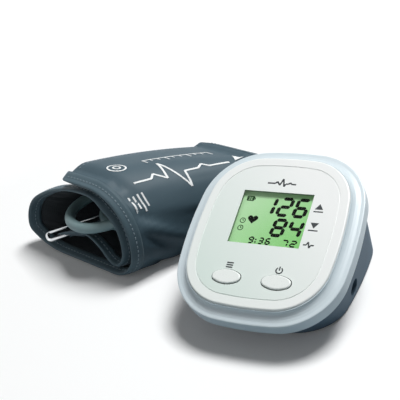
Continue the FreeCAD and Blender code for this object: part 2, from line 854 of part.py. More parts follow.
# lower case: a wedge-shaped shell with a lip, a battery well and two screw posts
def build_lower_case():
    body = new_body("lower_shell")
    foot = new_sketch(body, "foot_outline", "foot_height")
    base_outline(foot)
    top = leaning_sketch(body, "top_outline", LIP_BOTTOM)
    flange_outline(top, "base_top_inset")
    add_loft(body, "AdditiveLoft", "wedge", [foot, top], ruled=True)
    lip = leaning_sketch(body, "lip_outline", LIP_BOTTOM)
    flange_outline(lip, "lip_inset")
    add_pad(body, lip, "lip_thickness", "lip")
    doc.recompute()
    filled = doc.addObject("Part::Feature", "wedge_filled")
    filled.Shape = body.Shape.copy()
    floor = new_sketch(body, "floor_outline", "foot_height + case_wall")
    base_outline(floor, "case_wall")
    mouth = leaning_sketch(body, "mouth_outline", f"{BAND_BOTTOM} + 0.5")
    flange_outline(mouth, "base_top_inset + case_wall")
    add_loft(body, "SubtractiveLoft", "wedge_hollow", [floor, mouth], ruled=True)
    frame = new_sketch(body, "door_frame", "foot_height")
    front = "-door_front - door_fit - door_frame_wall / 2"
    back = "door_back + door_back_clear + door_frame_wall / 2"
    add_rectangle(frame, f"-({FRAME_HALF_X})", FRAME_HALF_X, front, back)
    add_pad(body, frame, f"{FRAME_TOP} - foot_height", "door_frame_block")
    well = new_sketch(body, "well_outline", "foot_height")
    wide, deep = f"{WELL_HALF_X} + well_wall", f"{WELL_HALF_Y} + well_wall"
    add_rectangle(well, f"-({wide})", wide, f"-({deep})", deep)
    add_pad(body, well, f"{WELL_TOP} + well_wall - foot_height", "well_block")
    inside = new_sketch(body, "well_inside", "foot_height")
    add_rectangle(inside, f"-({WELL_HALF_X})", WELL_HALF_X, f"-({WELL_HALF_Y})", WELL_HALF_Y)
    add_pocket(body, inside, f"{WELL_TOP} - foot_height", "well_hollow", upward=True)
    recess = new_sketch(body, "door_recess", "foot_height")
    wide = "door_half_width + door_fit"
    add_rectangle(recess, f"-({wide})", wide, "-door_front - door_fit", "door_back + door_back_clear")
    add_pocket(body, recess, "door_thickness + door_top_clear", "door_recess_cut", upward=True)

    posts = []
    cuts = []
    for side in (-1, 1):
        x, y = f"{side} * screw_side", "screw_back"
        post = rod(f"screw_post_{side}", "screw_post_radius", "2 * face_height")
        posts.append(at(post, x, y, "foot_height"))
        hole = rod(f"screw_hole_{side}", "screw_radius + screw_hole_fit", "2 * face_height")
        cuts.append(at(hole, x, y, "0"))
        sink = rod(f"screw_sink_{side}", "screw_sink_radius", "screw_seat")
        cuts.append(at(sink, x, y, "0"))
        reach = "door_fit + hinge_pin_reach"
        pin = rod(f"hinge_hole_{side}", "hinge_pin_radius + hinge_fit", reach, (side, 0, 0))
        cuts.append(at(pin, f"{side} * door_half_width", "hinge_back", "foot_height + hinge_rise"))
    port = rod("socket_hole", "socket_radius + socket_fit", "base_half_width", (-1, 0, 0))
    cuts.append(at(port, "-socket_collar_at", "socket_back", "socket_rise"))
    jack = rod("jack_hole", "jack_hole_radius", "base_half_width", (1, 0, 0))
    cuts.append(at(jack, "jack_outer - case_wall", "-jack_front", "jack_rise"))
    trimmed = common("posts_trimmed", fuse("screw_posts", *posts), filled)
    whole = fuse("lower_with_posts", body, trimmed)
    node(cut("lower_case", whole, fuse("lower_cuts", *cuts)), "lower_case")


# case screws and feet
def build_screws_and_feet():
    screws = []
    for side in (-1, 1):
        head = rod(f"case_screw_head_{side}", "screw_head_radius", "screw_head_height")
        at(head, f"{side} * screw_side", "screw_back", "screw_seat - screw_head_height")
        shank = rod(f"case_screw_shank_{side}", "screw_radius", "screw_length")
        at(shank, f"{side} * screw_side", "screw_back", "screw_seat")
        screws.append(fuse(f"case_screw_{side}", head, shank))
    node(group("case_screws", *screws), "case_screws")
    feet = []
    for side in (-1, 1):
        for way in (-1, 1):
            foot = rod(f"foot_{side}_{way}", "foot_radius", "foot_height")
            feet.append(at(foot, f"{side} * foot_side", f"{way} * foot_along", "0"))
    node(group("rubber_feet", *feet), "rubber_feet")


# battery cells, contacts and door
def build_batteries():
    cells = []
    contacts = []
    lift = "foot_height + cell_lift + cell_radius"
    for i in range(4):
        way = 1 if i % 2 else -1
        y = f"({i} - 1.5) * cell_pitch"
        can = rod(f"cell_can_{i}", "cell_radius", "cell_length", (way, 0, 0))
        at(can, f"-{way} * cell_length / 2", y, lift)
        nub = rod(f"cell_nub_{i}", "cell_nub_radius", "cell_nub_length", (way, 0, 0))
        at(nub, f"{way} * cell_length / 2", y, lift)
        cells.append(fuse(f"cell_{i}", can, nub))
        for end in (-1, 1):
            plate = box(f"contact_{i}_{end}", "contact_thickness", "2 * contact_half_width", "contact_height")
            face = f"{end} * (cell_length / 2 + cell_nub_length + contact_leaf + contact_thickness / 2)"
            low = f"{lift} - contact_height / 2"
            at(plate, f"{face} - contact_thickness / 2", f"{y} - contact_half_width", low)
            gap = "contact_leaf" if end == way else "contact_leaf + cell_nub_length"
            leaf = rod(f"leaf_{i}_{end}", "cell_nub_radius", gap, (-end, 0, 0))
            at(leaf, f"{end} * (cell_length / 2 + cell_nub_length + contact_leaf)", y, lift)
            contacts.append(fuse(f"contact_set_{i}_{end}", plate, leaf))
    node(group("battery_cells", *cells), "battery_cells")
    node(group("battery_contacts", *contacts), "battery_contacts")

    plate = box("door_plate", "2 * door_half_width", "door_front + door_back", "door_thickness")
    at(plate, "-door_half_width", "-door_front", "foot_height")
    pin = rod("door_pin", "hinge_pin_radius", "2 * (door_half_width + hinge_pin_reach)", (1, 0, 0))
    at(pin, "-door_half_width - hinge_pin_reach", "hinge_back", "foot_height + hinge_rise")
    thumb = box("door_thumb", "2 * thumb_half_width", "thumb_depth", "thumb_cut")
    at(thumb, "-thumb_half_width", "-door_front + thumb_depth", "foot_height")
    node(cut("battery_door", fuse("door_with_pin", plate, pin), thumb), "battery_door")


# air pump lying along X on two saddles
def build_pump():
    y, z = "pump_back", PUMP_AXIS
    joint = "head_length - pump_left"
    head = rod("head_block", "head_radius", "head_length", (1, 0, 0))
    at(head, "-pump_left", y, z)
    chamber = rod("crank_chamber", "crank_chamber_radius", "crank_chamber_depth", (1, 0, 0))
    at(chamber, f"{joint} - crank_chamber_depth", y, z)
    outlet = rod("pump_outlet", "nipple_radius", "nipple_length", (-1, 0, 0))
    at(outlet, "-pump_left", y, f"{z} + outlet_rise")
    node(cut("pump_head", fuse("head_and_outlet", head, outlet), chamber), "pump_head")

    can = rod("motor_can", "motor_radius", "motor_length", (1, 0, 0))
    at(can, joint, y, z)
    bore = rod("motor_bore", "shaft_radius + shaft_fit", "motor_length", (1, 0, 0))
    at(bore, joint, y, z)
    node(cut("pump_motor", can, bore), "pump_motor")

    shaft = rod("shaft_rod", "shaft_radius", "motor_length + shaft_reach", (1, 0, 0))
    at(shaft, f"{joint} - shaft_reach", y, z)
    crank = rod("crank", "crank_radius", "crank_length", (1, 0, 0))
    at(crank, f"{joint} - shaft_reach", y, f"{z} + crank_offset")
    node(fuse("pump_shaft", shaft, crank), "pump_shaft")

    saddles = []
    seat = f"{WELL_TOP} + well_wall"
    for i, (middle, hollow) in enumerate(
        ((f"{joint} - head_length / 2", "head_radius"), (f"{joint} + motor_length / 2", "motor_radius"))
    ):
        block = box(f"saddle_block_{i}", "saddle_width", "saddle_depth", f"{z} - {hollow} / 2 - ({seat})")
        at(block, f"{middle} - saddle_width / 2", f"{y} - saddle_depth / 2", seat)
        cradle = rod(f"saddle_hollow_{i}", hollow, "2 * saddle_width", (1, 0, 0))
        at(cradle, f"{middle} - saddle_width", y, z)
        saddles.append(cut(f"saddle_{i}", block, cradle))
    node(group("pump_saddles", *saddles), "pump_saddles")


# exhaust valve, manifold, air socket and power jack
def build_air_and_power():
    block = box("valve_block", "valve_width", "valve_length", "valve_height")
    at(block, "-valve_left", "-valve_front", FRAME_TOP)
    port = rod("valve_port", "nipple_radius", "nipple_length")
    at(port, f"-({VALVE_PORT_SIDE})", f"-({VALVE_PORT_FRONT})", f"{FRAME_TOP} + valve_height")
    bore = rod("valve_bore", "valve_bore_radius", "valve_bore_depth", (0, 1, 0))
    middle = "valve_width / 2 - valve_left"
    rise = f"{FRAME_TOP} + valve_height / 2"
    at(bore, middle, "-valve_front", rise)
    node(cut("exhaust_valve", fuse("valve_and_port", block, port), bore), "exhaust_valve")
    plunger = rod("valve_plunger", "valve_bore_radius - valve_plunger_fit", "valve_plunger_length", (0, 1, 0))
    at(plunger, middle, "-valve_front", rise)
    node(plunger, "valve_plunger")

    body = box("manifold_block", "socket_inner - manifold_right", "manifold_depth", "manifold_height")
    front = "socket_back - manifold_depth / 2"
    top = "socket_rise + manifold_height / 2"
    at(body, "-socket_inner", front, "socket_rise - manifold_height / 2")
    to_valve = rod("manifold_to_valve", "nipple_radius", "nipple_length", (0, -1, 0))
    at(to_valve, f"-({VALVE_PORT_SIDE})", front, "socket_rise")
    to_pump = rod("manifold_to_pump", "nipple_radius", "nipple_length")
    at(to_pump, "nipple_length - socket_inner", "socket_back", top)
    to_sensor = rod("manifold_to_sensor", "nipple_radius", "nipple_length")
    at(to_sensor, "-sensor_side", "socket_back + 2", top)
    node(fuse("air_manifold", body, to_valve, to_pump, to_sensor), "air_manifold")

    stem = rod("socket_stem", "socket_radius", "socket_outer - socket_inner", (-1, 0, 0))
    at(stem, "-socket_inner", "socket_back", "socket_rise")
    collar = rod("socket_collar", "socket_collar_radius", "socket_collar_length", (-1, 0, 0))
    at(collar, "-socket_collar_at", "socket_back", "socket_rise")
    hollow = rod("socket_bore", "socket_bore_radius", "socket_bore_depth", (1, 0, 0))
    at(hollow, "-socket_outer", "socket_back", "socket_rise")
    node(cut("air_socket", fuse("socket_and_collar", stem, collar), hollow), "air_socket")

    housing = box("jack_block", "jack_length", "2 * jack_half_width", "jack_height")
    at(housing, "jack_outer - jack_length", "-jack_front - jack_half_width", "foot_height + case_wall")
    bore = rod("jack_bore", "jack_bore_radius", "jack_bore_depth", (-1, 0, 0))
    at(bore, "jack_outer", "-jack_front", "jack_rise")
    node(cut("power_jack", housing, bore), "power_jack")
    pin = rod("jack_pin", "jack_pin_radius", "jack_bore_depth - jack_pin_short", (1, 0, 0))
    at(pin, "jack_outer - jack_bore_depth", "-jack_front", "jack_rise")
    node(pin, "jack_pin")


def solid_node(shape, label):
    """A sub-part whose shape is worked out here from the sheet's sizes."""
    obj = doc.addObject("Part::Feature", label)
    obj.Shape = shape
    obj.Placement = FreeCAD.Placement()
    return node(obj, label)


def rounded_path(points, told):
    """Straight runs joined by touching arcs, each as large as its two runs allow."""
    edges = []
    here = points[0]
    length = 0.0
    tightest = 1e9
    for before, corner, after in zip(points, points[1:], points[2:]):
        back, ahead = before - corner, after - corner
        runs = min(back.Length, ahead.Length)
        back.normalize()
        ahead.normalize()
        half_turn = (math.pi - back.getAngle(ahead)) / 2
        reach = 0.45 * runs
        radius = reach / math.tan(half_turn)
        tightest = min(tightest, radius)
        start, stop = corner + back * reach, corner + ahead * reach
        inward = back + ahead
        inward.normalize()
        middle = corner + inward * (radius / math.cos(half_turn) - radius)
        edges.append(Part.LineSegment(here, start).toShape())
        edges.append(Part.Arc(start, middle, stop).toShape())
        length += (start - here).Length + 2 * half_turn * radius
        here = stop
    edges.append(Part.LineSegment(here, points[-1]).toShape())
    length += (points[-1] - here).Length
    print(f"{told}: {length:.1f} mm long, smallest radius {tightest:.1f} mm")
    return Part.Wire(edges), length


def tube(points, radius, told):
    """A round solid along a route, with its volume compared with its section times its length."""
    path, length = rounded_path(points, told)
    ring = Part.Wire(Part.Circle(points[0], points[1] - points[0], radius).toShape())
    solid = path.makePipeShell([ring], True, False)
    share = solid.Volume / (math.pi * radius**2 * length)
    print(f"{told}: volume {share:.4f} of section times length")
    return solid


# inner air tubes, from nipple to nipple
def build_air_tubes():
    tilt = math.radians(size("face_tilt"))

    def face_place(x, up, out):
        y = -size("face_forward") + up * math.cos(tilt) - out * math.sin(tilt)
        z = size("face_height") + up * math.sin(tilt) + out * math.cos(tilt)
        return Vector(x, y, z)

    reach = size("nipple_length")
    top = size("socket_rise") + size("manifold_height") / 2 + reach
    outlet = Vector(-size("pump_left") - reach, size("pump_back"), worth(PUMP_AXIS) + size("outlet_rise"))
    column = reach - size("socket_inner")
    to_pump = [
        outlet,
        Vector(column, outlet.y, outlet.z),
        Vector(column, size("socket_back"), outlet.z),
        Vector(column, size("socket_back"), top),
    ]
    rise = worth(FRAME_TOP) + size("valve_height") + reach
    side, front = -worth(VALVE_PORT_SIDE), -worth(VALVE_PORT_FRONT)
    to_valve = [
        Vector(side, front, rise),
        Vector(side, front, size("socket_rise")),
        Vector(side, size("socket_back") - size("manifold_depth") / 2 - reach, size("socket_rise")),
    ]
    out = worth(BOARD_BOTTOM) - size("sensor_height") - reach
    start = face_place(-size("sensor_side"), size("sensor_up"), out)
    below = face_place(-size("sensor_side"), size("sensor_up"), out - 4)
    end = Vector(-size("sensor_side"), size("socket_back") + 2, top)
    to_sensor = [start, below, end + Vector(0, 0, 1.5), end]
    tubes = [
        tube(to_pump, size("tube_radius"), "tube to pump"),
        tube(to_valve, size("tube_radius"), "tube to valve"),
        tube(to_sensor, size("tube_radius"), "tube to sensor"),
    ]
    solid_node(Part.makeCompound(tubes), "air_tubes")


# directions of the cuff: along its roll, across its slanting ends, and up the leaning ends
def cuff_frame():
    near = Vector(size("cuff_near_x"), size("cuff_near_y"), 0)
    far = Vector(size("cuff_far_x"), size("cuff_far_y"), 0)
    along = far - near
    along.normalize()
    turn = math.radians(size("cuff_end_turn"))
    across = Vector(math.cos(turn), math.sin(turn), 0)
    upward = Vector(0, 0, 1) + along * size("cuff_lean")
    upward.normalize()
    return near, far, along, across, upward


# arcs of the roll's section, from the sewn end to the flap, and which of them the bladder and the hooks cover
ARC_NAMES = ("sewn", "hump", "bend", "inner", "slope", "bulge", "under", "tuck", "low", "high", "flap")
ARCS = len(ARC_NAMES)
BLADDER_ARCS = (ARC_NAMES.index("bend"), ARC_NAMES.index("bulge"))
HOOK_ARCS = (ARC_NAMES.index("high"), ARC_NAMES.index("flap"))


def crown_share():
    """The share of the roll's length at which its outer turn is lifted most."""
    near, far = cuff_frame()[:2]
    return size("crown_along") / (far - near).Length


def roll_arcs(share):
    """Arcs of the sheet's middle line, sewn end to flap, at a share of the way along the roll."""

    def between(name):
        return size("near_" + name) + share * (size("far_" + name) - size("near_" + name))

    def turned(degrees):
        return Vector(math.cos(math.radians(degrees)), math.sin(math.radians(degrees)), 0)

    peak = crown_share()
    lift = size("crown_rise") * (share / peak if share < peak else (1 - share) / (1 - peak))
    right, low, high = between("right"), between("low_radius"), between("high_radius") + lift
    flap, flap_x = between("flap_radius"), between("flap_x")
    inner_right, inner_low = between("inner_right"), between("inner_low")
    bottom = size("cuff_rise")
    middle = bottom + low
    top = middle + high
    inner_top = top - lift - size("cuff_step")
    inner_middle = bottom + size("cuff_step") + inner_low
    inner_high = inner_top - inner_middle
    slope, slope_turn = between("slope_radius"), size("slope_turn")
    slope_at = Vector(between("slope_x"), inner_top - slope, 0)
    bulge = between("bulge_radius")
    bulge_at = slope_at + turned(90 + slope_turn) * (slope - bulge)
    under, tuck, tuck_turn = between("under_radius"), between("tuck_radius"), size("tuck_turn")
    inward = turned(270 - tuck_turn) * (tuck - under)
    tuck_at = Vector(bulge_at.x - bulge + under - inward.x, bottom + tuck, 0)
    under_at = tuck_at + inward
    leave = -90 - size("hump_turn")
    crest = -90 + size("crest_turn")
    hump = between("hump_radius")
    bend = Vector(inner_right - inner_low, inner_middle, 0)
    hump_end = bend + turned(leave) * inner_low - turned(leave + 90) * between("hump_run")
    hump_at = hump_end + turned(leave) * hump
    sewn = size("sewn_radius")
    sewn_at = hump_at + turned(crest) * (sewn - hump)
    return [
        (sewn_at.x, sewn_at.y, -sewn, crest + size("sewn_turn"), crest),
        (hump_at.x, hump_at.y, -hump, crest, leave),
        (bend.x, bend.y, inner_low, leave, 0),
        (inner_right - inner_high, inner_middle, inner_high, 0, 90),
        (slope_at.x, slope_at.y, slope, 90, 90 + slope_turn),
        (bulge_at.x, bulge_at.y, bulge, 90 + slope_turn, 180),
        (under_at.x, under_at.y, under, 180, 270 - tuck_turn),
        (tuck_at.x, tuck_at.y, tuck, 270 - tuck_turn, 270),
        (right - low, middle, low, -90, 0),
        (right - high, middle, high, 0, 90),
        (flap_x, top - flap, flap, 90, 90 + size("flap_turn")),
    ]


def roll_point(share, x, z):
    near, far, along, across, upward = cuff_frame()
    return near + (far - near) * share + across * x + upward * z


def arc_ends(share, arc, offset):
    """Start, middle and stop of an arc of the roll, moved outward by an offset."""
    x, z, radius, start, stop = arc
    places = []
    for angle in (start, (start + stop) / 2, stop):
        turn = math.radians(angle)
        reach = radius + offset
        places.append(roll_point(share, x + reach * math.cos(turn), z + reach * math.sin(turn)))
    return places


def band_wire(share, outer, inner, first=0, last=ARCS - 1):
    """The closed section of a layer: outer and inner are its offsets for each arc of the roll."""
    arcs = roll_arcs(share)
    edges = []
    here = None

    def line_to(place):
        if here is not None and (place - here).Length > 1e-6:
            edges.append(Part.LineSegment(here, place).toShape())

    for i in range(first, last + 1):
        start, middle, stop = arc_ends(share, arcs[i], outer[i])
        line_to(start)
        edges.append(Part.Arc(start, middle, stop).toShape())
        here = stop
    for i in range(last, first - 1, -1):
        stop, middle, start = arc_ends(share, arcs[i], inner[i])
        line_to(start)
        edges.append(Part.Arc(start, middle, stop).toShape())
        here = stop
    line_to(arc_ends(share, arcs[first], outer[first])[0])
    return Part.Wire(edges)


def band(outer, inner, near=0.0, far=1.0, first=0, last=ARCS - 1):
    """A rolled layer from one share of the roll's length to another."""
    peak = crown_share()
    shares = [near, peak, far] if near < peak < far else [near, far]
    wires = [band_wire(share, outer, inner, first, last) for share in shares]
    return Part.makeLoft(wires, True, True)


# cuff: cloth outside, lining inside, bladder between them over the inner turn, binding round both ends
def build_cuff():
    near, far = cuff_frame()[:2]
    length = (far - near).Length
    half = size("cuff_sheet") / 2
    core = size("cuff_core") / 2
    first, last = BLADDER_ARCS
    outside = [half] * ARCS
    inside = [-half] * ARCS
    solid_node(band(outside, [core] * ARCS), "cuff_cloth")
    lining_top = [-core if first <= i <= last else core for i in range(ARCS)]
    solid_node(band(lining_top, inside), "cuff_lining")
    solid_node(band([core] * ARCS, [-core] * ARCS, first=first, last=last), "cuff_bladder")

    thick = size("binding_thickness")
    wide = size("binding_width") / length
    edge = thick / length
    past = 2 * wide
    bindings = []
    for start, stop, hollow_start, hollow_stop in (
        (-edge, wide, 0.0, past),
        (1 - wide, 1 + edge, 1 - past, 1.0),
    ):
        tape = band([half + thick] * ARCS, [-half - thick] * ARCS, start, stop)
        bindings.append(tape.cut(band(outside, inside, hollow_start, hollow_stop)))
    solid_node(Part.makeCompound([s for tape in bindings for s in tape.Solids]), "cuff_binding")

    first, last = HOOK_ARCS
    under = [-half - size("hook_thickness")] * ARCS
    patch = band(inside, under, size("hook_near"), size("hook_far"), first=first, last=last)
    solid_node(patch, "hook_patch")


def ring_line():
    """The axis of the sewn strap: its two ends at the near and far ends of the roll."""
    across, upward = cuff_frame()[3:]
    ends = []
    for share in (0.0, 1.0):
        x, z, radius, start, stop = roll_arcs(share)[0]
        turn = math.radians(start)
        outward = across * math.cos(turn) + upward * math.sin(turn)
        ends.append(roll_point(share, x, z) + outward * radius)
    away = outward.cross(ends[1] - ends[0])
    away.normalize()
    if away.dot(across) > 0:
        away = away * -1
    clear = size("ring_wire_radius") + size("ring_fit") + size("strap_wall") + size("strap_gap")
    return [place + away * clear for place in ends]


# metal ring with one long side through the sewn strap at the cuff's inner end
def build_ring():
    start, stop = ring_line()
    axis = stop - start
    axis.normalize()
    wire, fit, wall = size("ring_wire_radius"), size("ring_fit"), size("strap_wall")
    inset = size("strap_inset")
    long = (stop - start).Length - 2 * inset
    outer = Part.makeCylinder(wire + fit + wall, long, start + axis * inset, axis)
    inner = Part.makeCylinder(wire + fit, long, start + axis * inset, axis)
    solid_node(outer.cut(inner), "ring_strap")

    across, upward = cuff_frame()[3:]
    turn = math.radians(size("ring_turn"))
    out = across * math.cos(turn) + upward * math.sin(turn)
    out = out - axis * out.dot(axis)
    out.normalize()
    depth, bend = size("ring_depth"), size("ring_bend")
    near_end = start - axis * size("ring_near_reach")
    far_end = stop + axis * size("ring_far_reach")
    corners = [near_end, far_end, far_end + out * depth, near_end + out * depth]
    edges = []
    for i in range(4):
        before, corner, after = corners[i - 1], corners[i], corners[(i + 1) % 4]
        back, ahead = before - corner, after - corner
        back.normalize()
        ahead.normalize()
        into, leave = corner + back * bend, corner + ahead * bend
        inward = back + ahead
        inward.normalize()
        middle = corner + inward * (bend * (math.sqrt(2) - 1))
        edges.append(Part.Arc(into, middle, leave).toShape())
        next_into = after - ahead * bend
        edges.append(Part.LineSegment(leave, next_into).toShape())
    path = Part.Wire(Part.__sortEdges__(edges))
    place = path.OrderedEdges[0].valueAt(path.OrderedEdges[0].FirstParameter)
    way = path.OrderedEdges[0].tangentAt(path.OrderedEdges[0].FirstParameter)
    section = Part.Wire(Part.Circle(place, way, wire).toShape())
    loop = path.makePipeShell([section], True, False)
    print(f"ring volume {loop.Volume:.1f}, section times length {math.pi * wire**2 * path.Length:.1f}")
    solid_node(loop, "cuff_ring")
    print("ring axis from", start, "to", stop)


def hose_route():
    """Points of the hose: two flat loops folded up inside the roll, the outer bend in its mouth."""
    near, _, along = cuff_frame()[:3]
    square = Vector(along.y, -along.x, 0)
    radius = size("hank_radius")
    middle = size("hank_across")
    starts = [size("hank_start"), size("hank_inner_start")]
    stop = size("hank_end")
    bow = size("hank_bow")
    lead, tail, veer = size("hank_lead"), size("hank_tail"), size("tail_veer")
    flat = [(starts[0] + lead, middle + radius - bow), (starts[0] + lead / 2, middle + radius)]
    for loop in range(2):
        for step in range(5):
            turn = math.radians(90 + 45 * step)
            flat.append((starts[loop] + radius * math.cos(turn), middle + radius * math.sin(turn)))
        flat.append(((starts[loop] + stop) / 2, middle - radius - bow))
        for step in range(5):
            turn = math.radians(-90 + 45 * step)
            flat.append((stop + radius * math.cos(turn), middle + radius * math.sin(turn)))
        if loop == 0:
            flat.append(((starts[1] + stop) / 2, middle + radius + bow))
    flat.append((stop - tail / 2, middle + radius + veer))
    flat.append((stop - tail, middle + radius + 1.3 * veer))
    gone = 0.0
    lengths = [0.0]
    for (p0, q0), (p1, q1) in zip(flat, flat[1:]):
        gone += math.hypot(p1 - p0, q1 - q0)
        lengths.append(gone)
    rise, fall = size("hank_rise"), size("hank_fall")
    loop_length = 2 * math.pi * radius + 2 * (stop - starts[0])
    points = []
    for (p, q), reached in zip(flat, lengths):
        points.append(near + along * p + square * q + Vector(0, 0, rise - fall * reached / loop_length))
    points[-1].z -= size("tail_drop")
    points[-2].z -= size("tail_drop") / 2
    return points


def least_gap(points, radius, apart):
    """Least clear distance between stretches of a tube that are further apart along it than a length."""
    path, length = rounded_path(points, "hose")
    count = int(length / (radius / 2))
    places = path.discretize(Number=count)
    step = length / (count - 1)
    skip = int(apart / step)
    least = 1e9
    for i, one in enumerate(places):
        for other in places[i + skip :]:
            least = min(least, (one - other).Length)
    return least - 2 * radius


# hose with the port that it starts from and the plug on its end
def build_hose():
    points = hose_route()
    radius = size("hose_radius")
    solid_node(tube(points, radius, "hose"), "air_hose")
    print(f"hose: least gap to itself {least_gap(points, radius, 60):.2f} mm")
    back = points[0] - points[1]
    back.normalize()
    port = Part.makeCylinder(size("hose_port_radius"), size("hose_port_length"), points[0], back)
    along = cuff_frame()[2]
    square = Vector(along.y, -along.x, 0)
    stem_at = points[0] + back * (size("hose_port_length") / 2)
    stem = Part.makeCylinder(size("hose_port_stem"), size("hose_port_reach"), stem_at, square)
    half = size("cuff_sheet") / 2
    layers = band([half] * ARCS, [-half - size("strap_gap")] * ARCS)
    solid_node(port.fuse(stem).cut(layers), "hose_port")
    ahead = points[-1] - points[-2]
    ahead.normalize()
    grip = Part.makeCylinder(size("plug_radius"), size("plug_length"), points[-1], ahead)
    nose_at = points[-1] + ahead * size("plug_length")
    nose = Part.makeCylinder(size("plug_nose_radius"), size("plug_nose_length"), nose_at, ahead)
    solid_node(grip.fuse(nose), "air_plug")


build_upper_case()
board_places = build_face_panel()
build_display()
build_board(board_places)
build_button(-1, "memory")
build_button(1, "start")
build_lower_case()
build_screws_and_feet()
build_batteries()
build_pump()
build_air_and_power()
build_air_tubes()
build_cuff()
build_ring()
build_hose()
doc.recompute()

for obj in doc.Objects:
    if "Invalid" in obj.State or "Error" in obj.State:
        raise RuntimeError(f"{obj.Name} ({obj.Label}) failed: {obj.State}")
for obj in NODES:
    if obj.Shape.isNull() or not obj.Shape.isValid():
        raise RuntimeError(f"{obj.Label} has no valid shape")
for obj in NODES:
    obj.Shape.exportStep(f"parts/{obj.Label}.step")
    print(f"{obj.Label}: {len(obj.Shape.Solids)} solids, {obj.Shape.Volume / 1000:.2f} cm3")
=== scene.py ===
"""Looks of a table-top blood pressure monitor with its arm cuff rolled up beside it.

Metres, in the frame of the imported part: +X to the user's right, +Y to the back, +Z up. Sizes that the part's
source gives in millimetres stay in millimetres here and are turned into metres where a point is made.
"""

import math

import bpy
from mathutils import Matrix, Vector, noise


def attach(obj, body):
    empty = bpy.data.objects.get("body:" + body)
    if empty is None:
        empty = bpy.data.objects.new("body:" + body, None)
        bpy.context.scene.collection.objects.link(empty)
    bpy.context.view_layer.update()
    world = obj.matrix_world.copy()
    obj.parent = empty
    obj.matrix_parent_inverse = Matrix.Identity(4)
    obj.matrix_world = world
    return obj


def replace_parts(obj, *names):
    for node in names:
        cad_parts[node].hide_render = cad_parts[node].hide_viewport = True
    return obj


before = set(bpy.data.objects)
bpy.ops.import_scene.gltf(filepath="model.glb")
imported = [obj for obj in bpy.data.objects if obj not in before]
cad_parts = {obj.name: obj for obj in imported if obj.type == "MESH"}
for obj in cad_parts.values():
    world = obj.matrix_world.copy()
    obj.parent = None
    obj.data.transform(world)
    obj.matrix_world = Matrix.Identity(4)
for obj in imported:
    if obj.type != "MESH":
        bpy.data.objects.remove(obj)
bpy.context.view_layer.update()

MM = 0.001

# where the leaning face stands, in millimetres, and the line engraved round it
FACE_TILT = math.radians(22)
FACE_HEIGHT, FACE_FORWARD = 53, 20
LINE_HALF_WIDTH, LINE_HALF_HEIGHT, LINE_SQUARENESS = 43.7, 49.7, 3.3


# small helpers
def linear(code):
    """An sRGB hex colour as the linear colour that a socket takes."""
    shares = [int(code[i:i + 2], 16) / 255 for i in (1, 3, 5)]
    bent = [c / 12.92 if c <= 0.04045 else ((c + 0.055) / 1.055) ** 2.4 for c in shares]
    return (*bent, 1.0)


def per_mm(size):
    """The scale of a texture whose features are this many millimetres apart."""
    return 1 / (size * MM)


def add(tree, kind, inputs=None, **settings):
    """Adds a node with its settings. Each input is a value, or another node's output to link from."""
    made = tree.nodes.new(kind)
    for name, value in settings.items():
        setattr(made, name, value)
    for key, value in (inputs or {}).items():
        if isinstance(value, bpy.types.NodeSocket):
            tree.links.new(value, made.inputs[key])
        else:
            made.inputs[key].default_value = value
    return made


def new_material(name, **principled):
    """A material with its principled shader's own sockets set, its tree and that shader."""
    material = bpy.data.materials.new(name)
    material.use_nodes = True
    tree = material.node_tree
    shader = tree.nodes["Principled BSDF"]
    for socket, value in principled.items():
        shader.inputs[socket.replace("_", " ")].default_value = value
    return material, tree, shader


MIX_A, MIX_B, MIX_OUT = 6, 7, 2


def smooth(mesh):
    mesh.polygons.foreach_set("use_smooth", [True] * len(mesh.polygons))


def new_piece(name, points, faces, material, body, smoothed=True):
    """A mesh piece that rides on a body."""
    mesh = bpy.data.meshes.new(name)
    mesh.from_pydata([tuple(p) for p in points], [], faces)
    mesh.update()
    if smoothed:
        smooth(mesh)
    obj = bpy.data.objects.new(name, mesh)
    bpy.context.scene.collection.objects.link(obj)
    for one in material if isinstance(material, (list, tuple)) else [material]:
        mesh.materials.append(one)
    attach(obj, body)
    return obj


# moulded plastics of the monitor
def moulded_abs(name, colour, shade, roughness, grain_mm, grain_depth_mm, gloss=0.5):
    """Moulded ABS: one even colour with the faintest flow clouds, and the mould's grain on its gloss.

    The grain is drawn coarser than a real mould's, so that it shows.
    """
    material, tree, shader = new_material(name, Roughness=roughness, IOR=1.53, Specular_IOR_Level=gloss)
    place = add(tree, "ShaderNodeTexCoord").outputs["Object"]
    cloud = add(tree, "ShaderNodeTexNoise", {"Vector": place, "Scale": per_mm(30), "Detail": 2.0})
    tint = add(tree, "ShaderNodeMix", {0: cloud.outputs["Fac"], MIX_A: linear(colour), MIX_B: linear(shade)},
               data_type="RGBA")
    tree.links.new(tint.outputs[MIX_OUT], shader.inputs["Base Color"])
    grain = add(tree, "ShaderNodeTexNoise", {"Vector": place, "Scale": per_mm(grain_mm), "Detail": 1.0})
    bump = add(tree, "ShaderNodeBump", {"Height": grain.outputs["Fac"], "Distance": grain_depth_mm * MM})
    tree.links.new(bump.outputs["Normal"], shader.inputs["Normal"])
    worn = add(tree, "ShaderNodeMapRange", {"Value": grain.outputs["Fac"], "From Min": 0.3, "From Max": 0.7,
                                            "To Min": roughness - 0.04, "To Max": roughness + 0.04})
    tree.links.new(worn.outputs["Result"], shader.inputs["Roughness"])
    return material


def face_place(tree, across=MM, up=MM, out=MM):
    """A place as a node's output, across, up and out of the face, in these units."""
    place = add(tree, "ShaderNodeTexCoord").outputs["Object"]
    mapped = add(tree, "ShaderNodeMapping", {
        "Vector": place, "Location": (0.0, -FACE_FORWARD * MM, FACE_HEIGHT * MM),
        "Rotation": (FACE_TILT, 0.0, 0.0), "Scale": (across, up, out)}, vector_type="TEXTURE")
    return mapped.outputs["Vector"]


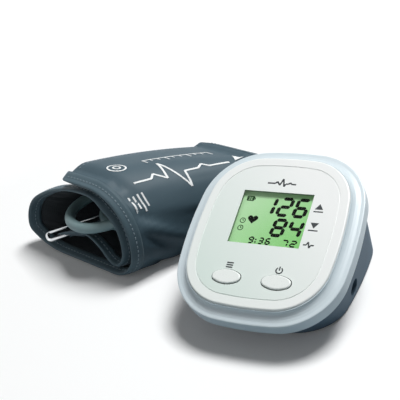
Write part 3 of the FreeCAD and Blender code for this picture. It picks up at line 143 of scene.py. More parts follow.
def key_abs():
    """White polished ABS of a push button, with painted shade that darkens its skirt in the gap round it."""
    material = moulded_abs("white_abs_polished_key", "#f0f5f2", "#ebf1ee", 0.3, 1.0, 0.0005)
    tree = material.node_tree
    shader = tree.nodes["Principled BSDF"]
    base = shader.inputs["Base Color"].links[0].from_socket
    apart = add(tree, "ShaderNodeSeparateXYZ", {"Vector": face_place(tree)})
    # painted shade: below the face's level the button's white turns dark grey-green, as its gap's shadow
    painted_recess_shade = add(tree, "ShaderNodeMapRange", {"Value": apart.outputs["Z"], "From Min": 0.35, "From Max": -0.1})
    mixed = add(tree, "ShaderNodeMix", {0: painted_recess_shade.outputs["Result"], MIX_A: base, MIX_B: linear("#59625e")},
                data_type="RGBA")
    tree.links.new(mixed.outputs[MIX_OUT], shader.inputs["Base Color"])
    return material


def panel_abs():
    """White polished ABS. Painted shade makes it greener and greyer to the lower left, most inside the
    engraved line.

    Painted shade makes the walls of its openings dark.
    """
    material = moulded_abs("white_abs_polished_panel", "#f5f7f6", "#f1f4f3", 0.32, 1.2, 0.0006)
    tree = material.node_tree
    shader = tree.nodes["Principled BSDF"]
    base = shader.inputs["Base Color"].links[0].from_socket
    face = face_place(tree, LINE_HALF_WIDTH * MM, LINE_HALF_HEIGHT * MM)
    apart = add(tree, "ShaderNodeSeparateXYZ", {"Vector": face})
    powers = []
    for axis in ("X", "Y"):
        size = add(tree, "ShaderNodeMath", {0: apart.outputs[axis]}, operation="ABSOLUTE")
        power = add(tree, "ShaderNodeMath", {0: size.outputs[0], 1: LINE_SQUARENESS}, operation="POWER")
        powers.append(power.outputs[0])
    reach = add(tree, "ShaderNodeMath", {0: powers[0], 1: powers[1]}, operation="ADD")
    # painted shade: the face turns greener and greyer towards its lower left, where less light falls
    lean = add(tree, "ShaderNodeMath", {0: apart.outputs["X"], 1: apart.outputs["Y"]}, operation="ADD")
    fall = add(tree, "ShaderNodeMapRange", {"Value": lean.outputs[0], "From Min": 1.2, "From Max": -1.6,
                                            "To Min": 0.0, "To Max": 0.85})
    # painted shade: from 0.4 mm below the face, full at 0.8 mm, the walls of the openings turn dark grey-green
    painted_recess_shade = add(tree, "ShaderNodeMapRange", {"Value": apart.outputs["Z"], "From Min": -0.4, "From Max": -0.8})
    # both painted shades are weaker outside the engraved line, and the dark walls show only inside it
    for painted_shade_share, colour, outside in ((fall, "#d3e4dc", 0.35), (painted_recess_shade, "#4a544e", 0.0)):
        inside = add(tree, "ShaderNodeMapRange", {"Value": reach.outputs[0], "From Min": 1.04,
                                                  "From Max": 0.94, "To Min": outside})
        share = add(tree, "ShaderNodeMath", {0: inside.outputs["Result"], 1: painted_shade_share.outputs["Result"]},
                    operation="MULTIPLY")
        base = add(tree, "ShaderNodeMix", {0: share.outputs[0], MIX_A: base, MIX_B: linear(colour)},
                   data_type="RGBA").outputs[MIX_OUT]
    tree.links.new(base, shader.inputs["Base Color"])
    return material


def display_glass():
    """Reflective liquid crystal with a painted green glow: paler at the upper left, a deeper green at the
    lower right.
    """
    material, tree, shader = new_material("liquid_crystal_glass_green", Roughness=0.35, IOR=1.5)
    place = add(tree, "ShaderNodeTexCoord").outputs["Object"]
    apart = add(tree, "ShaderNodeSeparateXYZ", {"Vector": place})
    lean = add(tree, "ShaderNodeMath", {0: apart.outputs["X"], 1: apart.outputs["Y"]}, operation="SUBTRACT")
    fall = add(tree, "ShaderNodeMapRange", {"Value": lean.outputs[0], "From Min": -0.02, "From Max": 0.055})
    grain = add(tree, "ShaderNodeTexNoise", {"Vector": place, "Scale": per_mm(0.8), "Detail": 1.0})
    speck = add(tree, "ShaderNodeMapRange", {"Value": grain.outputs["Fac"], "To Min": -0.06, "To Max": 0.06})
    share = add(tree, "ShaderNodeMath", {0: fall.outputs["Result"], 1: speck.outputs["Result"]},
                operation="ADD")
    pale, deep = linear("#b9e6b2"), linear("#7fd06f")
    tint = add(tree, "ShaderNodeMix", {0: share.outputs[0], MIX_A: pale, MIX_B: deep}, data_type="RGBA")
    tree.links.new(tint.outputs[MIX_OUT], shader.inputs["Base Color"])
    # painted light: the glass glows faintly in its own colours, though no lamp lies behind it
    tree.links.new(tint.outputs[MIX_OUT], shader.inputs["Emission Color"])
    shader.inputs["Emission Strength"].default_value = 0.12
    return material


def window_acrylic():
    """Clear polished acrylic: it lets the display through and keeps a thin gloss with faint wipe marks."""
    material, tree, shader = new_material("acrylic_window_polished", Alpha=0.05, IOR=1.49)
    shader.inputs["Base Color"].default_value = linear("#1c241d")
    place = add(tree, "ShaderNodeTexCoord").outputs["Object"]
    wipe = add(tree, "ShaderNodeTexNoise", {"Vector": place, "Scale": per_mm(9), "Detail": 4.0})
    gloss = add(tree, "ShaderNodeMapRange", {"Value": wipe.outputs["Fac"], "To Min": 0.03, "To Max": 0.12})
    tree.links.new(gloss.outputs["Result"], shader.inputs["Roughness"])
    return material


def printed_ink(name, colour, shade, gloss=0.4):
    """Pad-printed ink: matt, with the small unevenness of a printed film."""
    material, tree, shader = new_material(name, Roughness=0.55, Specular_IOR_Level=gloss)
    place = add(tree, "ShaderNodeTexCoord").outputs["Object"]
    film = add(tree, "ShaderNodeTexNoise", {"Vector": place, "Scale": per_mm(1.5), "Detail": 3.0})
    tint = add(tree, "ShaderNodeMix", {0: film.outputs["Fac"], MIX_A: linear(colour), MIX_B: linear(shade)},
               data_type="RGBA")
    tree.links.new(tint.outputs[MIX_OUT], shader.inputs["Base Color"])
    return material


# soft goods: a wave texture of scale one repeats at this distance
WAVE_PERIOD = math.pi / 10


def woven_cloth(name, colour, shade, thread_mm, depth_mm, roughness, sheen):
    """Woven cloth: crossing threads in the bump, soft clouds of light and dark, and the sheen of its fibres.

    The threads are drawn coarser than real ones, so that they show.
    """
    material, tree, shader = new_material(name, Roughness=roughness, Sheen_Weight=sheen, Sheen_Roughness=0.45)
    shader.inputs["Sheen Tint"].default_value = linear("#c5d4dd")
    shader.inputs["Specular IOR Level"].default_value = 0.3
    flat = add(tree, "ShaderNodeUVMap", uv_map="cloth").outputs["UV"]
    place = add(tree, "ShaderNodeTexCoord").outputs["Object"]
    waves = []
    for way in ("X", "Y"):
        wave = add(tree, "ShaderNodeTexWave", {"Vector": flat, "Scale": per_mm(thread_mm) * WAVE_PERIOD},
                   wave_type="BANDS", bands_direction=way)
        waves.append(wave.outputs["Fac"])
    weave = add(tree, "ShaderNodeMath", {0: waves[0], 1: waves[1]}, operation="MULTIPLY")
    cloud = add(tree, "ShaderNodeTexNoise", {"Vector": place, "Scale": per_mm(22), "Detail": 3.0})
    dark = add(tree, "ShaderNodeMath", {0: cloud.outputs["Fac"], 1: 0.75}, operation="MULTIPLY")
    thread = add(tree, "ShaderNodeMath", {0: weave.outputs[0], 1: 0.25}, operation="MULTIPLY")
    share = add(tree, "ShaderNodeMath", {0: dark.outputs[0], 1: thread.outputs[0]}, operation="ADD")
    tint = add(tree, "ShaderNodeMix", {0: share.outputs[0], MIX_A: linear(shade), MIX_B: linear(colour)},
               data_type="RGBA")
    tree.links.new(tint.outputs[MIX_OUT], shader.inputs["Base Color"])
    bump = add(tree, "ShaderNodeBump", {"Height": weave.outputs[0], "Distance": depth_mm * MM,
                                        "Strength": 0.7})
    tree.links.new(bump.outputs["Normal"], shader.inputs["Normal"])
    return material


def smooth_rubber(name, colour, shade, roughness):
    """Extruded soft vinyl: smooth and satin, with faint streaks and dust in its surface."""
    material, tree, shader = new_material(name, Roughness=roughness, IOR=1.52)
    place = add(tree, "ShaderNodeTexCoord").outputs["Object"]
    cloud = add(tree, "ShaderNodeTexNoise", {"Vector": place, "Scale": per_mm(8), "Detail": 4.0})
    tint = add(tree, "ShaderNodeMix", {0: cloud.outputs["Fac"], MIX_A: linear(colour), MIX_B: linear(shade)},
               data_type="RGBA")
    tree.links.new(tint.outputs[MIX_OUT], shader.inputs["Base Color"])
    gloss = add(tree, "ShaderNodeMapRange", {"Value": cloud.outputs["Fac"], "From Min": 0.3, "From Max": 0.7,
                                             "To Min": roughness - 0.08, "To Max": roughness + 0.08})
    tree.links.new(gloss.outputs["Result"], shader.inputs["Roughness"])
    return material


# metals
def plated_metal(name, colour, shade, roughness, scratch_mm):
    """Plated or turned metal: bright, with fine hair scratches that spread its highlights."""
    material, tree, shader = new_material(name, Metallic=1.0, Roughness=roughness)
    place = add(tree, "ShaderNodeTexCoord").outputs["Object"]
    stretched = add(tree, "ShaderNodeMapping", {"Vector": place, "Scale": (1.0, 1.0, 9.0)})
    hair = add(tree, "ShaderNodeTexNoise", {"Vector": stretched.outputs[0], "Scale": per_mm(scratch_mm),
                                            "Detail": 3.0})
    tint = add(tree, "ShaderNodeMix", {0: hair.outputs["Fac"], MIX_A: linear(colour), MIX_B: linear(shade)},
               data_type="RGBA")
    tree.links.new(tint.outputs[MIX_OUT], shader.inputs["Base Color"])
    gloss = add(tree, "ShaderNodeMapRange", {"Value": hair.outputs["Fac"], "From Min": 0.3, "From Max": 0.7,
                                             "To Min": roughness * 0.7, "To Max": roughness * 1.3})
    tree.links.new(gloss.outputs["Result"], shader.inputs["Roughness"])
    return material


def solder_mask():
    """Green solder mask over copper: paler tracks in a grid under a glossy coat."""
    material, tree, shader = new_material("epoxy_board_solder_mask", Roughness=0.35, Coat_Weight=0.4)
    place = add(tree, "ShaderNodeTexCoord").outputs["Object"]
    tracks = add(tree, "ShaderNodeTexBrick", {
        "Vector": place, "Scale": per_mm(4), "Mortar Size": 0.08,
        "Color1": linear("#1d5a34"), "Color2": linear("#1a5230"), "Mortar": linear("#2f7a48")})
    tree.links.new(tracks.outputs["Color"], shader.inputs["Base Color"])
    return material


# where the copper-coloured end of the cells' sleeves starts, in millimetres across
COPPER_FROM = 11


def cell_sleeve():
    """Printed sleeve of a battery cell: slate grey with a copper-coloured end, and satin gloss."""
    material, tree, shader = new_material("printed_sleeve_on_steel", Metallic=0.4)
    place = add(tree, "ShaderNodeTexCoord").outputs["Object"]
    apart = add(tree, "ShaderNodeSeparateXYZ", {"Vector": place})
    far = add(tree, "ShaderNodeMath", {0: apart.outputs["X"], 1: COPPER_FROM * MM}, operation="GREATER_THAN")
    tint = add(tree, "ShaderNodeMix", {0: far.outputs[0], MIX_A: linear("#3b4248"), MIX_B: linear("#a8693c")},
               data_type="RGBA")
    tree.links.new(tint.outputs[MIX_OUT], shader.inputs["Base Color"])
    streak = add(tree, "ShaderNodeTexNoise", {"Vector": place, "Scale": per_mm(3), "Detail": 2.0})
    gloss = add(tree, "ShaderNodeMapRange", {"Value": streak.outputs["Fac"], "To Min": 0.25, "To Max": 0.4})
    tree.links.new(gloss.outputs["Result"], shader.inputs["Roughness"])
    return material


WHITE_PANEL = panel_abs()
WHITE_KEY = key_abs()
SILVER_GREY = moulded_abs("grey_abs_satin_ring", "#d3dfe4", "#cad7dd", 0.36, 0.8, 0.002)
SLATE = moulded_abs("slate_abs_spark_textured", "#506778", "#465b6b", 0.6, 0.5, 0.012, gloss=0.25)
BLACK_ABS = moulded_abs("black_abs_moulded", "#202225", "#1a1b1e", 0.42, 0.7, 0.006)
GREY_ABS = moulded_abs("grey_abs_moulded_fitting", "#5f6b70", "#566267", 0.4, 0.7, 0.006)
NYLON = woven_cloth("nylon_woven_slate", "#465b65", "#374a54", 1.0, 0.05, 0.55, 0.06)
# the lining's near-black is partly its own colour and partly painted shade for the dark inside of the roll
LINING_WITH_PAINTED_SHADE = woven_cloth("polyester_lining_black_and_painted_shade", "#1c2226", "#11161a", 1.6, 0.12, 0.8, 0.08)
TAPE = woven_cloth("polyester_binding_tape", "#4b6069", "#3c4f58", 0.8, 0.08, 0.55, 0.3)
HOOKS = woven_cloth("nylon_hook_tape_black", "#23262a", "#131517", 1.4, 0.5, 0.7, 0.2)
THREAD = smooth_rubber("polyester_sewing_thread", "#82919a", "#6e7e87", 0.6)
HOSE = smooth_rubber("vinyl_hose_extruded", "#89a3a5", "#7a9497", 0.42)
CLEAR_TUBE = smooth_rubber("silicone_tube_milky", "#d9dbd8", "#cdd0cd", 0.45)
BLACK_RUBBER = smooth_rubber("rubber_moulded_black", "#232426", "#1b1c1e", 0.75)
CHROME = plated_metal("steel_wire_chromed", "#dfe2e4", "#cfd3d6", 0.12, 2.0)
ZINC = plated_metal("steel_zinc_plated", "#b9bcbf", "#a5a9ad", 0.3, 1.0)
BRASS = plated_metal("brass_turned", "#c9a45c", "#b48d46", 0.25, 1.0)
DARK_INK = printed_ink("pad_print_dark_grey", "#23282b", "#2c3235")
WHITE_INK = printed_ink("screen_print_white", "#f2f4f4", "#e4e8e9")
SEGMENT = printed_ink("liquid_crystal_segment_dark", "#0a0f0a", "#10160f", gloss=0.05)
FAINT_SEGMENT = printed_ink("liquid_crystal_segment_faint", "#2f4d30", "#385a38", gloss=0.05)

FINISH = {
    "upper_case": SILVER_GREY, "face_panel": WHITE_PANEL, "display_window": window_acrylic(),
    "lcd_glass": display_glass(), "lcd_frame": BLACK_ABS, "lcd_strips": BLACK_RUBBER,
    "main_board": solder_mask(), "board_chips": BLACK_ABS, "buzzer": BLACK_ABS, "pressure_sensor": GREY_ABS,
    "board_screws": ZINC, "switch_bodies": BLACK_ABS, "memory_button": WHITE_KEY, "start_button": WHITE_KEY,
    "memory_plunger": BLACK_ABS, "start_plunger": BLACK_ABS, "lower_case": SLATE, "battery_door": SLATE,
    "case_screws": ZINC, "rubber_feet": BLACK_RUBBER, "battery_cells": cell_sleeve(),
    "battery_contacts": ZINC,
    "pump_head": BLACK_ABS, "pump_motor": ZINC, "pump_shaft": ZINC, "pump_saddles": BLACK_RUBBER,
    "exhaust_valve": GREY_ABS, "valve_plunger": BRASS, "air_manifold": GREY_ABS, "air_socket": BLACK_ABS,
    "power_jack": BLACK_ABS, "jack_pin": BRASS, "air_tubes": CLEAR_TUBE, "cuff_ring": CHROME,
    "hose_port": GREY_ABS, "air_plug": GREY_ABS,
}
for name, material in FINISH.items():
    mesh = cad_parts[name].data
    mesh.materials.clear()
    mesh.materials.append(material)


# marks on the leaning face
WINDOW_WIDTH, WINDOW_HEIGHT, WINDOW_UP = 49.4, 40.4, 8.7
GLASS_OUT = -3.2
INK_THICKNESS = 0.05


def face_point(x, up, out):
    """A place on the face, in millimetres across, up and out of it, as a point in metres."""
    y = -FACE_FORWARD + up * math.cos(FACE_TILT) - out * math.sin(FACE_TILT)
    z = FACE_HEIGHT + up * math.sin(FACE_TILT) + out * math.cos(FACE_TILT)
    return Vector((x, y, z)) * MM


def face_marks(name, outlines, out, material):
    """Flat marks on the face, each a closed film of ink over its outline."""
    points = []
    faces = []
    for outline in outlines:
        count = len(outline)
        first = len(points)
        for level in (out, out + INK_THICKNESS):
            points.extend(face_point(x, up, level) for x, up in outline)
        faces.append([first + i for i in reversed(range(count))])
        faces.append([first + count + i for i in range(count)])
        for i in range(count):
            after = (i + 1) % count
            faces.append([first + i, first + after, first + count + after, first + count + i])
    return new_piece(name, points, faces, material, "housing", smoothed=False)


def moved(outline, x, up):
    return [(px + x, py + up) for px, py in outline]


def bar(x0, y0, x1, y1, width):
    """A straight stroke between two places, with square ends."""
    along = Vector((x1 - x0, y1 - y0)).normalized() * width / 2
    side = Vector((-along.y, along.x))
    return [(x0 - side.x, y0 - side.y), (x1 - side.x, y1 - side.y), (x1 + side.x, y1 + side.y),
            (x0 + side.x, y0 + side.y)]


def strokes(places, width):
    """Strokes from each place to the next."""
    return [bar(*one, *other, width) for one, other in zip(places, places[1:])]


def arc_strokes(x, up, radius, start, stop, width, count=20):
    turns = [math.radians(start + (stop - start) * i / count) for i in range(count + 1)]
    return strokes([(x + radius * math.cos(t), up + radius * math.sin(t)) for t in turns], width)


# each digit's lit segments: top, upper right, lower right, bottom, lower left, upper left, middle
LIT = {"1": "bc", "2": "abged", "3": "abgcd", "4": "fgbc", "6": "afgedc", "7": "abc", "8": "abcdefg",
       "9": "abcdfg"}
DIGIT_SLANT = math.tan(math.radians(7))


def digit(figure, left, low, wide, high, stroke):
    """The lit segments of one figure, each with pointed ends, in a slanting cell."""
    gap = stroke * 0.12
    half = stroke / 2
    x0, x1 = left + half, left + wide - half
    y0, y1, y2 = low + half, low + high / 2, low + high - half
    lines = {"a": (x0, y2, x1, y2), "b": (x1, y1, x1, y2), "c": (x1, y0, x1, y1), "d": (x0, y0, x1, y0),
             "e": (x0, y0, x0, y1), "f": (x0, y1, x0, y2), "g": (x0, y1, x1, y1)}
    outlines = []
    for segment in LIT[figure]:
        ax, ay, bx, by = lines[segment]
        if ay == by:
            shape = [(ax + gap, ay), (ax + half, ay - half), (bx - half, ay - half), (bx - gap, ay),
                     (bx - half, ay + half), (ax + half, ay + half)]
        else:
            shape = [(ax, ay + gap), (ax + half, ay + half), (ax + half, by - half), (ax, by - gap),
                     (ax - half, by - half), (ax - half, ay + half)]
        outlines.append([(x + (y - low) * DIGIT_SLANT, y) for x, y in shape])
    return outlines


def glass_place(share_across, share_down):
    """A place on the display glass, by shares of the window's width and height from its upper left corner."""
    return (share_across - 0.5) * WINDOW_WIDTH, WINDOW_UP + (0.5 - share_down) * WINDOW_HEIGHT


def figures(text, right_share, low_share, wide, high, stroke, step):
    """A number that ends at a place on the glass."""
    right, low = glass_place(right_share, low_share)
    outlines = []
    for i, figure in enumerate(reversed(text)):
        outlines.extend(digit(figure, right - wide - i * step, low, wide, high, stroke))
    return outlines


def heart(x, up, size):
    """A heart of two round shoulders and a point."""
    outline = []
    count = 32
    half_span = 16
    unit = size / (2 * half_span)
    for i in range(count):
        turn = 2 * math.pi * i / count
        px = half_span * math.sin(turn) ** 3
        py = 13 * math.cos(turn) - 5 * math.cos(2 * turn) - 2 * math.cos(3 * turn) - math.cos(4 * turn)
        outline.append((x - px * unit, up + py * unit))
    return outline


def build_display_figures():
    shapes = figures("126", 0.93, 0.415, 9.8, 15.2, 2.5, 11.3)
    shapes += figures("84", 0.93, 0.795, 9.8, 14.2, 2.5, 11.3)
    shapes += figures("72", 0.922, 0.952, 4.6, 5.2, 1.1, 5.8)
    shapes += figures("36", 0.562, 0.952, 3.8, 5.2, 1.05, 4.8)
    shapes += figures("9", 0.325, 0.952, 3.8, 5.2, 1.05, 4.8)
    colon_x, colon_up = glass_place(0.358, 0.952)
    for rise in (1.3, 3.3):
        shapes.append(moved([(-0.5, -0.5), (0.5, -0.5), (0.5, 0.5), (-0.5, 0.5)], colon_x, colon_up + rise))
    shapes.append(heart(*glass_place(0.22, 0.5), 7.2))
    out = GLASS_OUT + 0.02
    face_marks("display_figures", shapes, out, SEGMENT)

    x, up = glass_place(0.095, 0.11)
    left, right, low, high = x - 2.3, x + 2.3, up - 1.6, up + 1.6
    faint = strokes([(left, low), (right, low), (right, high), (left, high), (left, low)], 0.8)
    faint.append(bar(right + 0.4, up, right + 1.2, up, 1.6))
    faint += [bar(x - 1.4 + 1.4 * i, up - 1.0, x - 1.4 + 1.4 * i, up + 1.0, 1.0) for i in range(3)]
    for down in (0.54, 0.68):
        x, up = glass_place(0.085, down)
        faint += arc_strokes(x, up, 1.8, 0, 360, 0.55)
        faint += strokes([(x, up + 1.1), (x, up), (x + 0.8, up)], 0.55)
    face_marks("display_icons", faint, out, FAINT_SEGMENT)


def build_face_print():
    """Plain pictures: a pulse line over the display, a mark beside each row, and one over each button."""
    wave = [(-10, 0), (-4.6, 0), (-3.4, 1.4), (-2.1, 0), (-1.2, -1.2), (0.4, 3.8), (2, -2.2), (2.9, 0),
            (4.6, 0), (5.9, 1.1), (7, 0), (10, 0)]
    shapes = strokes([(x, up + 35.6) for x, up in wave], 1.1)
    column = 30.4
    shapes.append([(column - 2.8, 18), (column + 2.8, 18), (column, 22.2)])
    shapes.append(bar(column - 3.2, 16.3, column + 3.2, 16.3, 0.9))
    shapes.append([(column, 3.8), (column + 2.8, 8), (column - 2.8, 8)])
    shapes.append(bar(column - 3.2, 2.3, column + 3.2, 2.3, 0.9))
    beat = [(-3.6, 0), (-1.5, 0), (-0.5, 2.2), (0.7, -2), (1.5, 0), (3.6, 0)]
    shapes += strokes([(x + column, up - 8.4) for x, up in beat], 0.95)
    shapes += [bar(-19.6, up, -15, up, 0.95) for up in (-29.9, -28.3, -26.7)]
    shapes += arc_strokes(16.6, -28.3, 2.1, 125, 415, 0.9)
    shapes.append(bar(16.6, -28.3, 16.6, -25.5, 0.9))
    face_marks("face_print", shapes, 0.0, DARK_INK)


build_display_figures()
build_face_print()


# rolled cuff: the sizes of its roll, in millimetres
CUFF_NEAR, CUFF_FAR = Vector((-163, -15.3, 0)), Vector((-75.6, 80.8, 0))
CUFF_END_TURN = math.radians(-16)
CUFF_LEAN, CUFF_RISE = 0.2, 2.5
CUFF_SHEET, CUFF_STEP = 4, 6
CROWN_ALONG, CROWN_RISE = 24, 10.5
ROLL = {
    "right": (55.5, 45), "low": (21, 16), "high": (44, 25.5), "flap": (50, 40), "flap_x": (-18, -25),
    "slope": (100, 30), "slope_x": (6, -23.5), "bulge": (30, 22), "under": (8, 6), "tuck": (70, 30),
    "inner_right": (46, 38), "inner_low": (14, 10.5), "hump_run": (8, 5), "hump": (26, 16),
}
FLAP_TURN, SLOPE_TURN, TUCK_TURN, HUMP_TURN, CREST_TURN = 5, 34, 30, 35, 12
SEWN_RADIUS, SEWN_TURN = 300, 5
BINDING_WIDTH, BINDING_THICKNESS, HOOK_THICKNESS = 8, 0.5, 0.8
ALONG = (CUFF_FAR - CUFF_NEAR).normalized()
ACROSS = Vector((math.cos(CUFF_END_TURN), math.sin(CUFF_END_TURN), 0))
UPWARD = (Vector((0, 0, 1)) + ALONG * CUFF_LEAN).normalized()
ROLL_LENGTH = (CUFF_FAR - CUFF_NEAR).length
HALF = CUFF_SHEET / 2
TAPE_HALF = HALF + BINDING_THICKNESS


def turned(degrees):
    return Vector((math.cos(math.radians(degrees)), math.sin(math.radians(degrees))))


def roll_arcs(share):
    """Arcs of the sheet's middle line from its sewn end to its flap: centre, radius, start and stop.

    A negative radius bends back.
    """
    size = {name: near + share * (far - near) for name, (near, far) in ROLL.items()}
    peak = CROWN_ALONG / ROLL_LENGTH
    if share < peak:
        part = max(0.0, share / peak)
        lift = CROWN_RISE * part * part * (3 - 2 * part)
    else:
        lift = CROWN_RISE * (1 - ((share - peak) / (1 - peak)) ** 2)
    low, high, flap = size["low"], size["high"] + lift, size["flap"]
    inner_low, hump = size["inner_low"], size["hump"]
    top = CUFF_RISE + low + high
    inner_top = top - lift - CUFF_STEP
    inner_middle = CUFF_RISE + CUFF_STEP + inner_low
    inner_high = inner_top - inner_middle
    slope, bulge, under, tuck = size["slope"], size["bulge"], size["under"], size["tuck"]
    slope_at = Vector((size["slope_x"], inner_top - slope))
    bulge_at = slope_at + turned(90 + SLOPE_TURN) * (slope - bulge)
    inward = turned(270 - TUCK_TURN) * (tuck - under)
    tuck_at = Vector((bulge_at.x - bulge + under - inward.x, CUFF_RISE + tuck))
    leave, crest = -90 - HUMP_TURN, -90 + CREST_TURN
    bend = Vector((size["inner_right"] - inner_low, inner_middle))
    hump_end = bend + turned(leave) * inner_low - turned(leave + 90) * size["hump_run"]
    hump_at = hump_end + turned(leave) * hump
    sewn_at = hump_at + turned(crest) * (SEWN_RADIUS - hump)
    return [
        (sewn_at, -SEWN_RADIUS, crest + SEWN_TURN, crest),
        (hump_at, -hump, crest, leave),
        (bend, inner_low, leave, 0),
        (Vector((size["inner_right"] - inner_high, inner_middle)), inner_high, 0, 90),
        (slope_at, slope, 90, 90 + SLOPE_TURN),
        (bulge_at, bulge, 90 + SLOPE_TURN, 180),
        (tuck_at + inward, under, 180, 270 - TUCK_TURN),
        (tuck_at, tuck, 270 - TUCK_TURN, 270),
        (Vector((size["right"] - low, CUFF_RISE + low)), low, -90, 0),
        (Vector((size["right"] - high, CUFF_RISE + low)), high, 0, 90),
        (Vector((size["flap_x"], top - flap)), flap, 90, 90 + FLAP_TURN),
    ]


# how many steps each arc, and the straight run before it, is divided into
ARC_STEPS = (8, 8, 12, 18, 12, 14, 6, 10, 12, 22, 4)
RUN_STEPS = (0, 0, 4, 0, 6, 0, 2, 0, 18, 0, 9)
HUMP, BEND, INNER, HIGH, FLAP = 1, 2, 3, 9, 10
HUMP_LIFT, HUMP_REACH, HUMP_FADE, SEWN_LIFT = 7, 0.17, 2.2, 0.6
DENT_DEPTH, DENT_REACH, DENT_ANGLE, DENT_SPREAD = 2.4, 0.25, 55, 13
# how far the flap's near and far corner are rounded, along the roll and back from the free edge
NEAR_CORNER, FAR_CORNER = (20.0, 9.0), (7.0, 7.0)


def mouth_share(share, reach):
    """How much of a shape at the near mouth is left at a share of the roll's length."""
    return max(0.0, 1 - max(share, 0.0) / reach) ** 2


def distances(line):
    """How far each place of a line is from its first."""
    reached = [0.0]
    for (one, _), (other, _) in zip(line, line[1:]):
        reached.append(reached[-1] + (other - one).length)
    return reached


def middle_line(share, first=0, last=FLAP):
    """Places on the sheet's middle line with the way out of the roll there, as the soft sheet lies.

    At the mouth the innermost end arches up, and the inner turn has a small dent near its top.
    """
    places = []
    arcs = roll_arcs(share)
    arch = Vector((0, HUMP_LIFT * mouth_share(share, HUMP_REACH)))
    dent = DENT_DEPTH * mouth_share(share, DENT_REACH)
    for i in range(first, last + 1):
        centre, radius, start, stop = arcs[i]
        begin = centre + turned(start) * radius
        if i == BEND:
            begin += arch
        if places:
            here, way = places[-1]
            for k in range(1, RUN_STEPS[i]):
                part = k / RUN_STEPS[i]
                places.append((here.lerp(begin, part), way.lerp(turned(start), part).normalized()))
        for k in range(0 if not places or RUN_STEPS[i] else 1, ARC_STEPS[i] + 1):
            part = k / ARC_STEPS[i]
            angle = start + (stop - start) * part
            place = centre + turned(angle) * radius
            if i < HUMP:
                place += arch * (SEWN_LIFT + (1 - SEWN_LIFT) * part)
            elif i == HUMP:
                place += arch
            elif i == BEND:
                place += arch * max(0.0, 1 - HUMP_FADE * part)
            elif i == INNER:
                place -= turned(angle) * dent * math.exp(-(((angle - DENT_ANGLE) / DENT_SPREAD) ** 2))
            places.append((place, turned(angle)))
    return cut_corner(places, share)


def cut_corner(line, share):
    """The line with its flap end drawn back where the flap's corners are rounded."""
    along = min(share, 1 - share) * ROLL_LENGTH
    long, deep = NEAR_CORNER if share < 0.5 else FAR_CORNER
    if along >= long:
        return line
    back = deep * (1 - math.sqrt(1 - (1 - max(along, 0.0) / long) ** 2))
    kept = len(line) - 1 - RUN_STEPS[FLAP] - ARC_STEPS[FLAP]
    reached = distances(line)
    spare = reached[-1] - reached[kept]
    drawn = list(line[:kept + 1])
    k = kept
    for gone in reached[kept + 1:]:
        target = reached[kept] + (gone - reached[kept]) * (1 - back / spare)
        while reached[k + 1] < target:
            k += 1
        part = (target - reached[k]) / (reached[k + 1] - reached[k])
        (one, way), (other, after) = line[k], line[k + 1]
        drawn.append((one.lerp(other, part), way.lerp(after, part).normalized()))
    return drawn


def roll_point(share, flat):
    """A place in the section of the roll at a share of its length, in millimetres."""
    return CUFF_NEAR + (CUFF_FAR - CUFF_NEAR) * share + ACROSS * flat.x + UPWARD * flat.y


def on_table(place):
    """A place in millimetres, no lower than the table."""
    return Vector((place.x, place.y, max(place.z, 0.0)))


EDGE_ROUND, EDGE_PINCH, EDGE_REACH, EDGE_LEAST = 1.4, 0.5, 11.0, 0.3


def edge_share(along):
    """Share of its thickness that the padded sheet has at a distance from an edge, where it is sewn flat."""
    part = min(1.0, along / EDGE_REACH)
    pinched = EDGE_PINCH + (1 - EDGE_PINCH) * part * part * (3 - 2 * part)
    if along >= EDGE_ROUND:
        return pinched
    return pinched * max(EDGE_LEAST, math.sqrt(max(0.0, 1 - (1 - along / EDGE_ROUND) ** 2)))


def tape_half(share):
    """Half the thickness of the sheet with its binding, which narrows to both ends of the roll."""
    along = share * ROLL_LENGTH
    return TAPE_HALF * edge_share(min(along, ROLL_LENGTH - along) + BINDING_THICKNESS)


def sheet_half(share):
    """Half the thickness of the sheet under its binding."""
    return max(EDGE_LEAST, tape_half(share) - BINDING_THICKNESS)


SHEET_STEPS = 44
HEM_HELD = 9.0
SHEET_SHARES = [j / SHEET_STEPS for j in range(SHEET_STEPS + 1)]
CLOTH_FRAMES, CLOTH_HOLD, CLOTH_SLACK, CLOTH_LIMIT = 24, 0.02, 0.02, 3.5
RUMPLE, RUMPLE_SIZE = 1.5, 26
FOLD_FROM, FOLD_SLOPE, FOLD_MIDDLE, FOLD_LONG = 80, 0.5, 20, 24
FOLD_RISE, FOLD_DEPTH, FOLD_WIDE = 2.8, 3.6, 6.0


def side_fold(v, w):
    """Push of the fold that starts in the cuff's side at its mouth: a ridge with a hollow under it."""
    ridge = w - FOLD_FROM - FOLD_SLOPE * v
    fade = math.exp(-(((v - FOLD_MIDDLE) / FOLD_LONG) ** 2))
    hollow = math.exp(-(((ridge - 1.5 * FOLD_WIDE) / FOLD_WIDE) ** 2))
    return fade * (FOLD_RISE * math.exp(-((ridge / FOLD_WIDE) ** 2)) - FOLD_DEPTH * hollow)


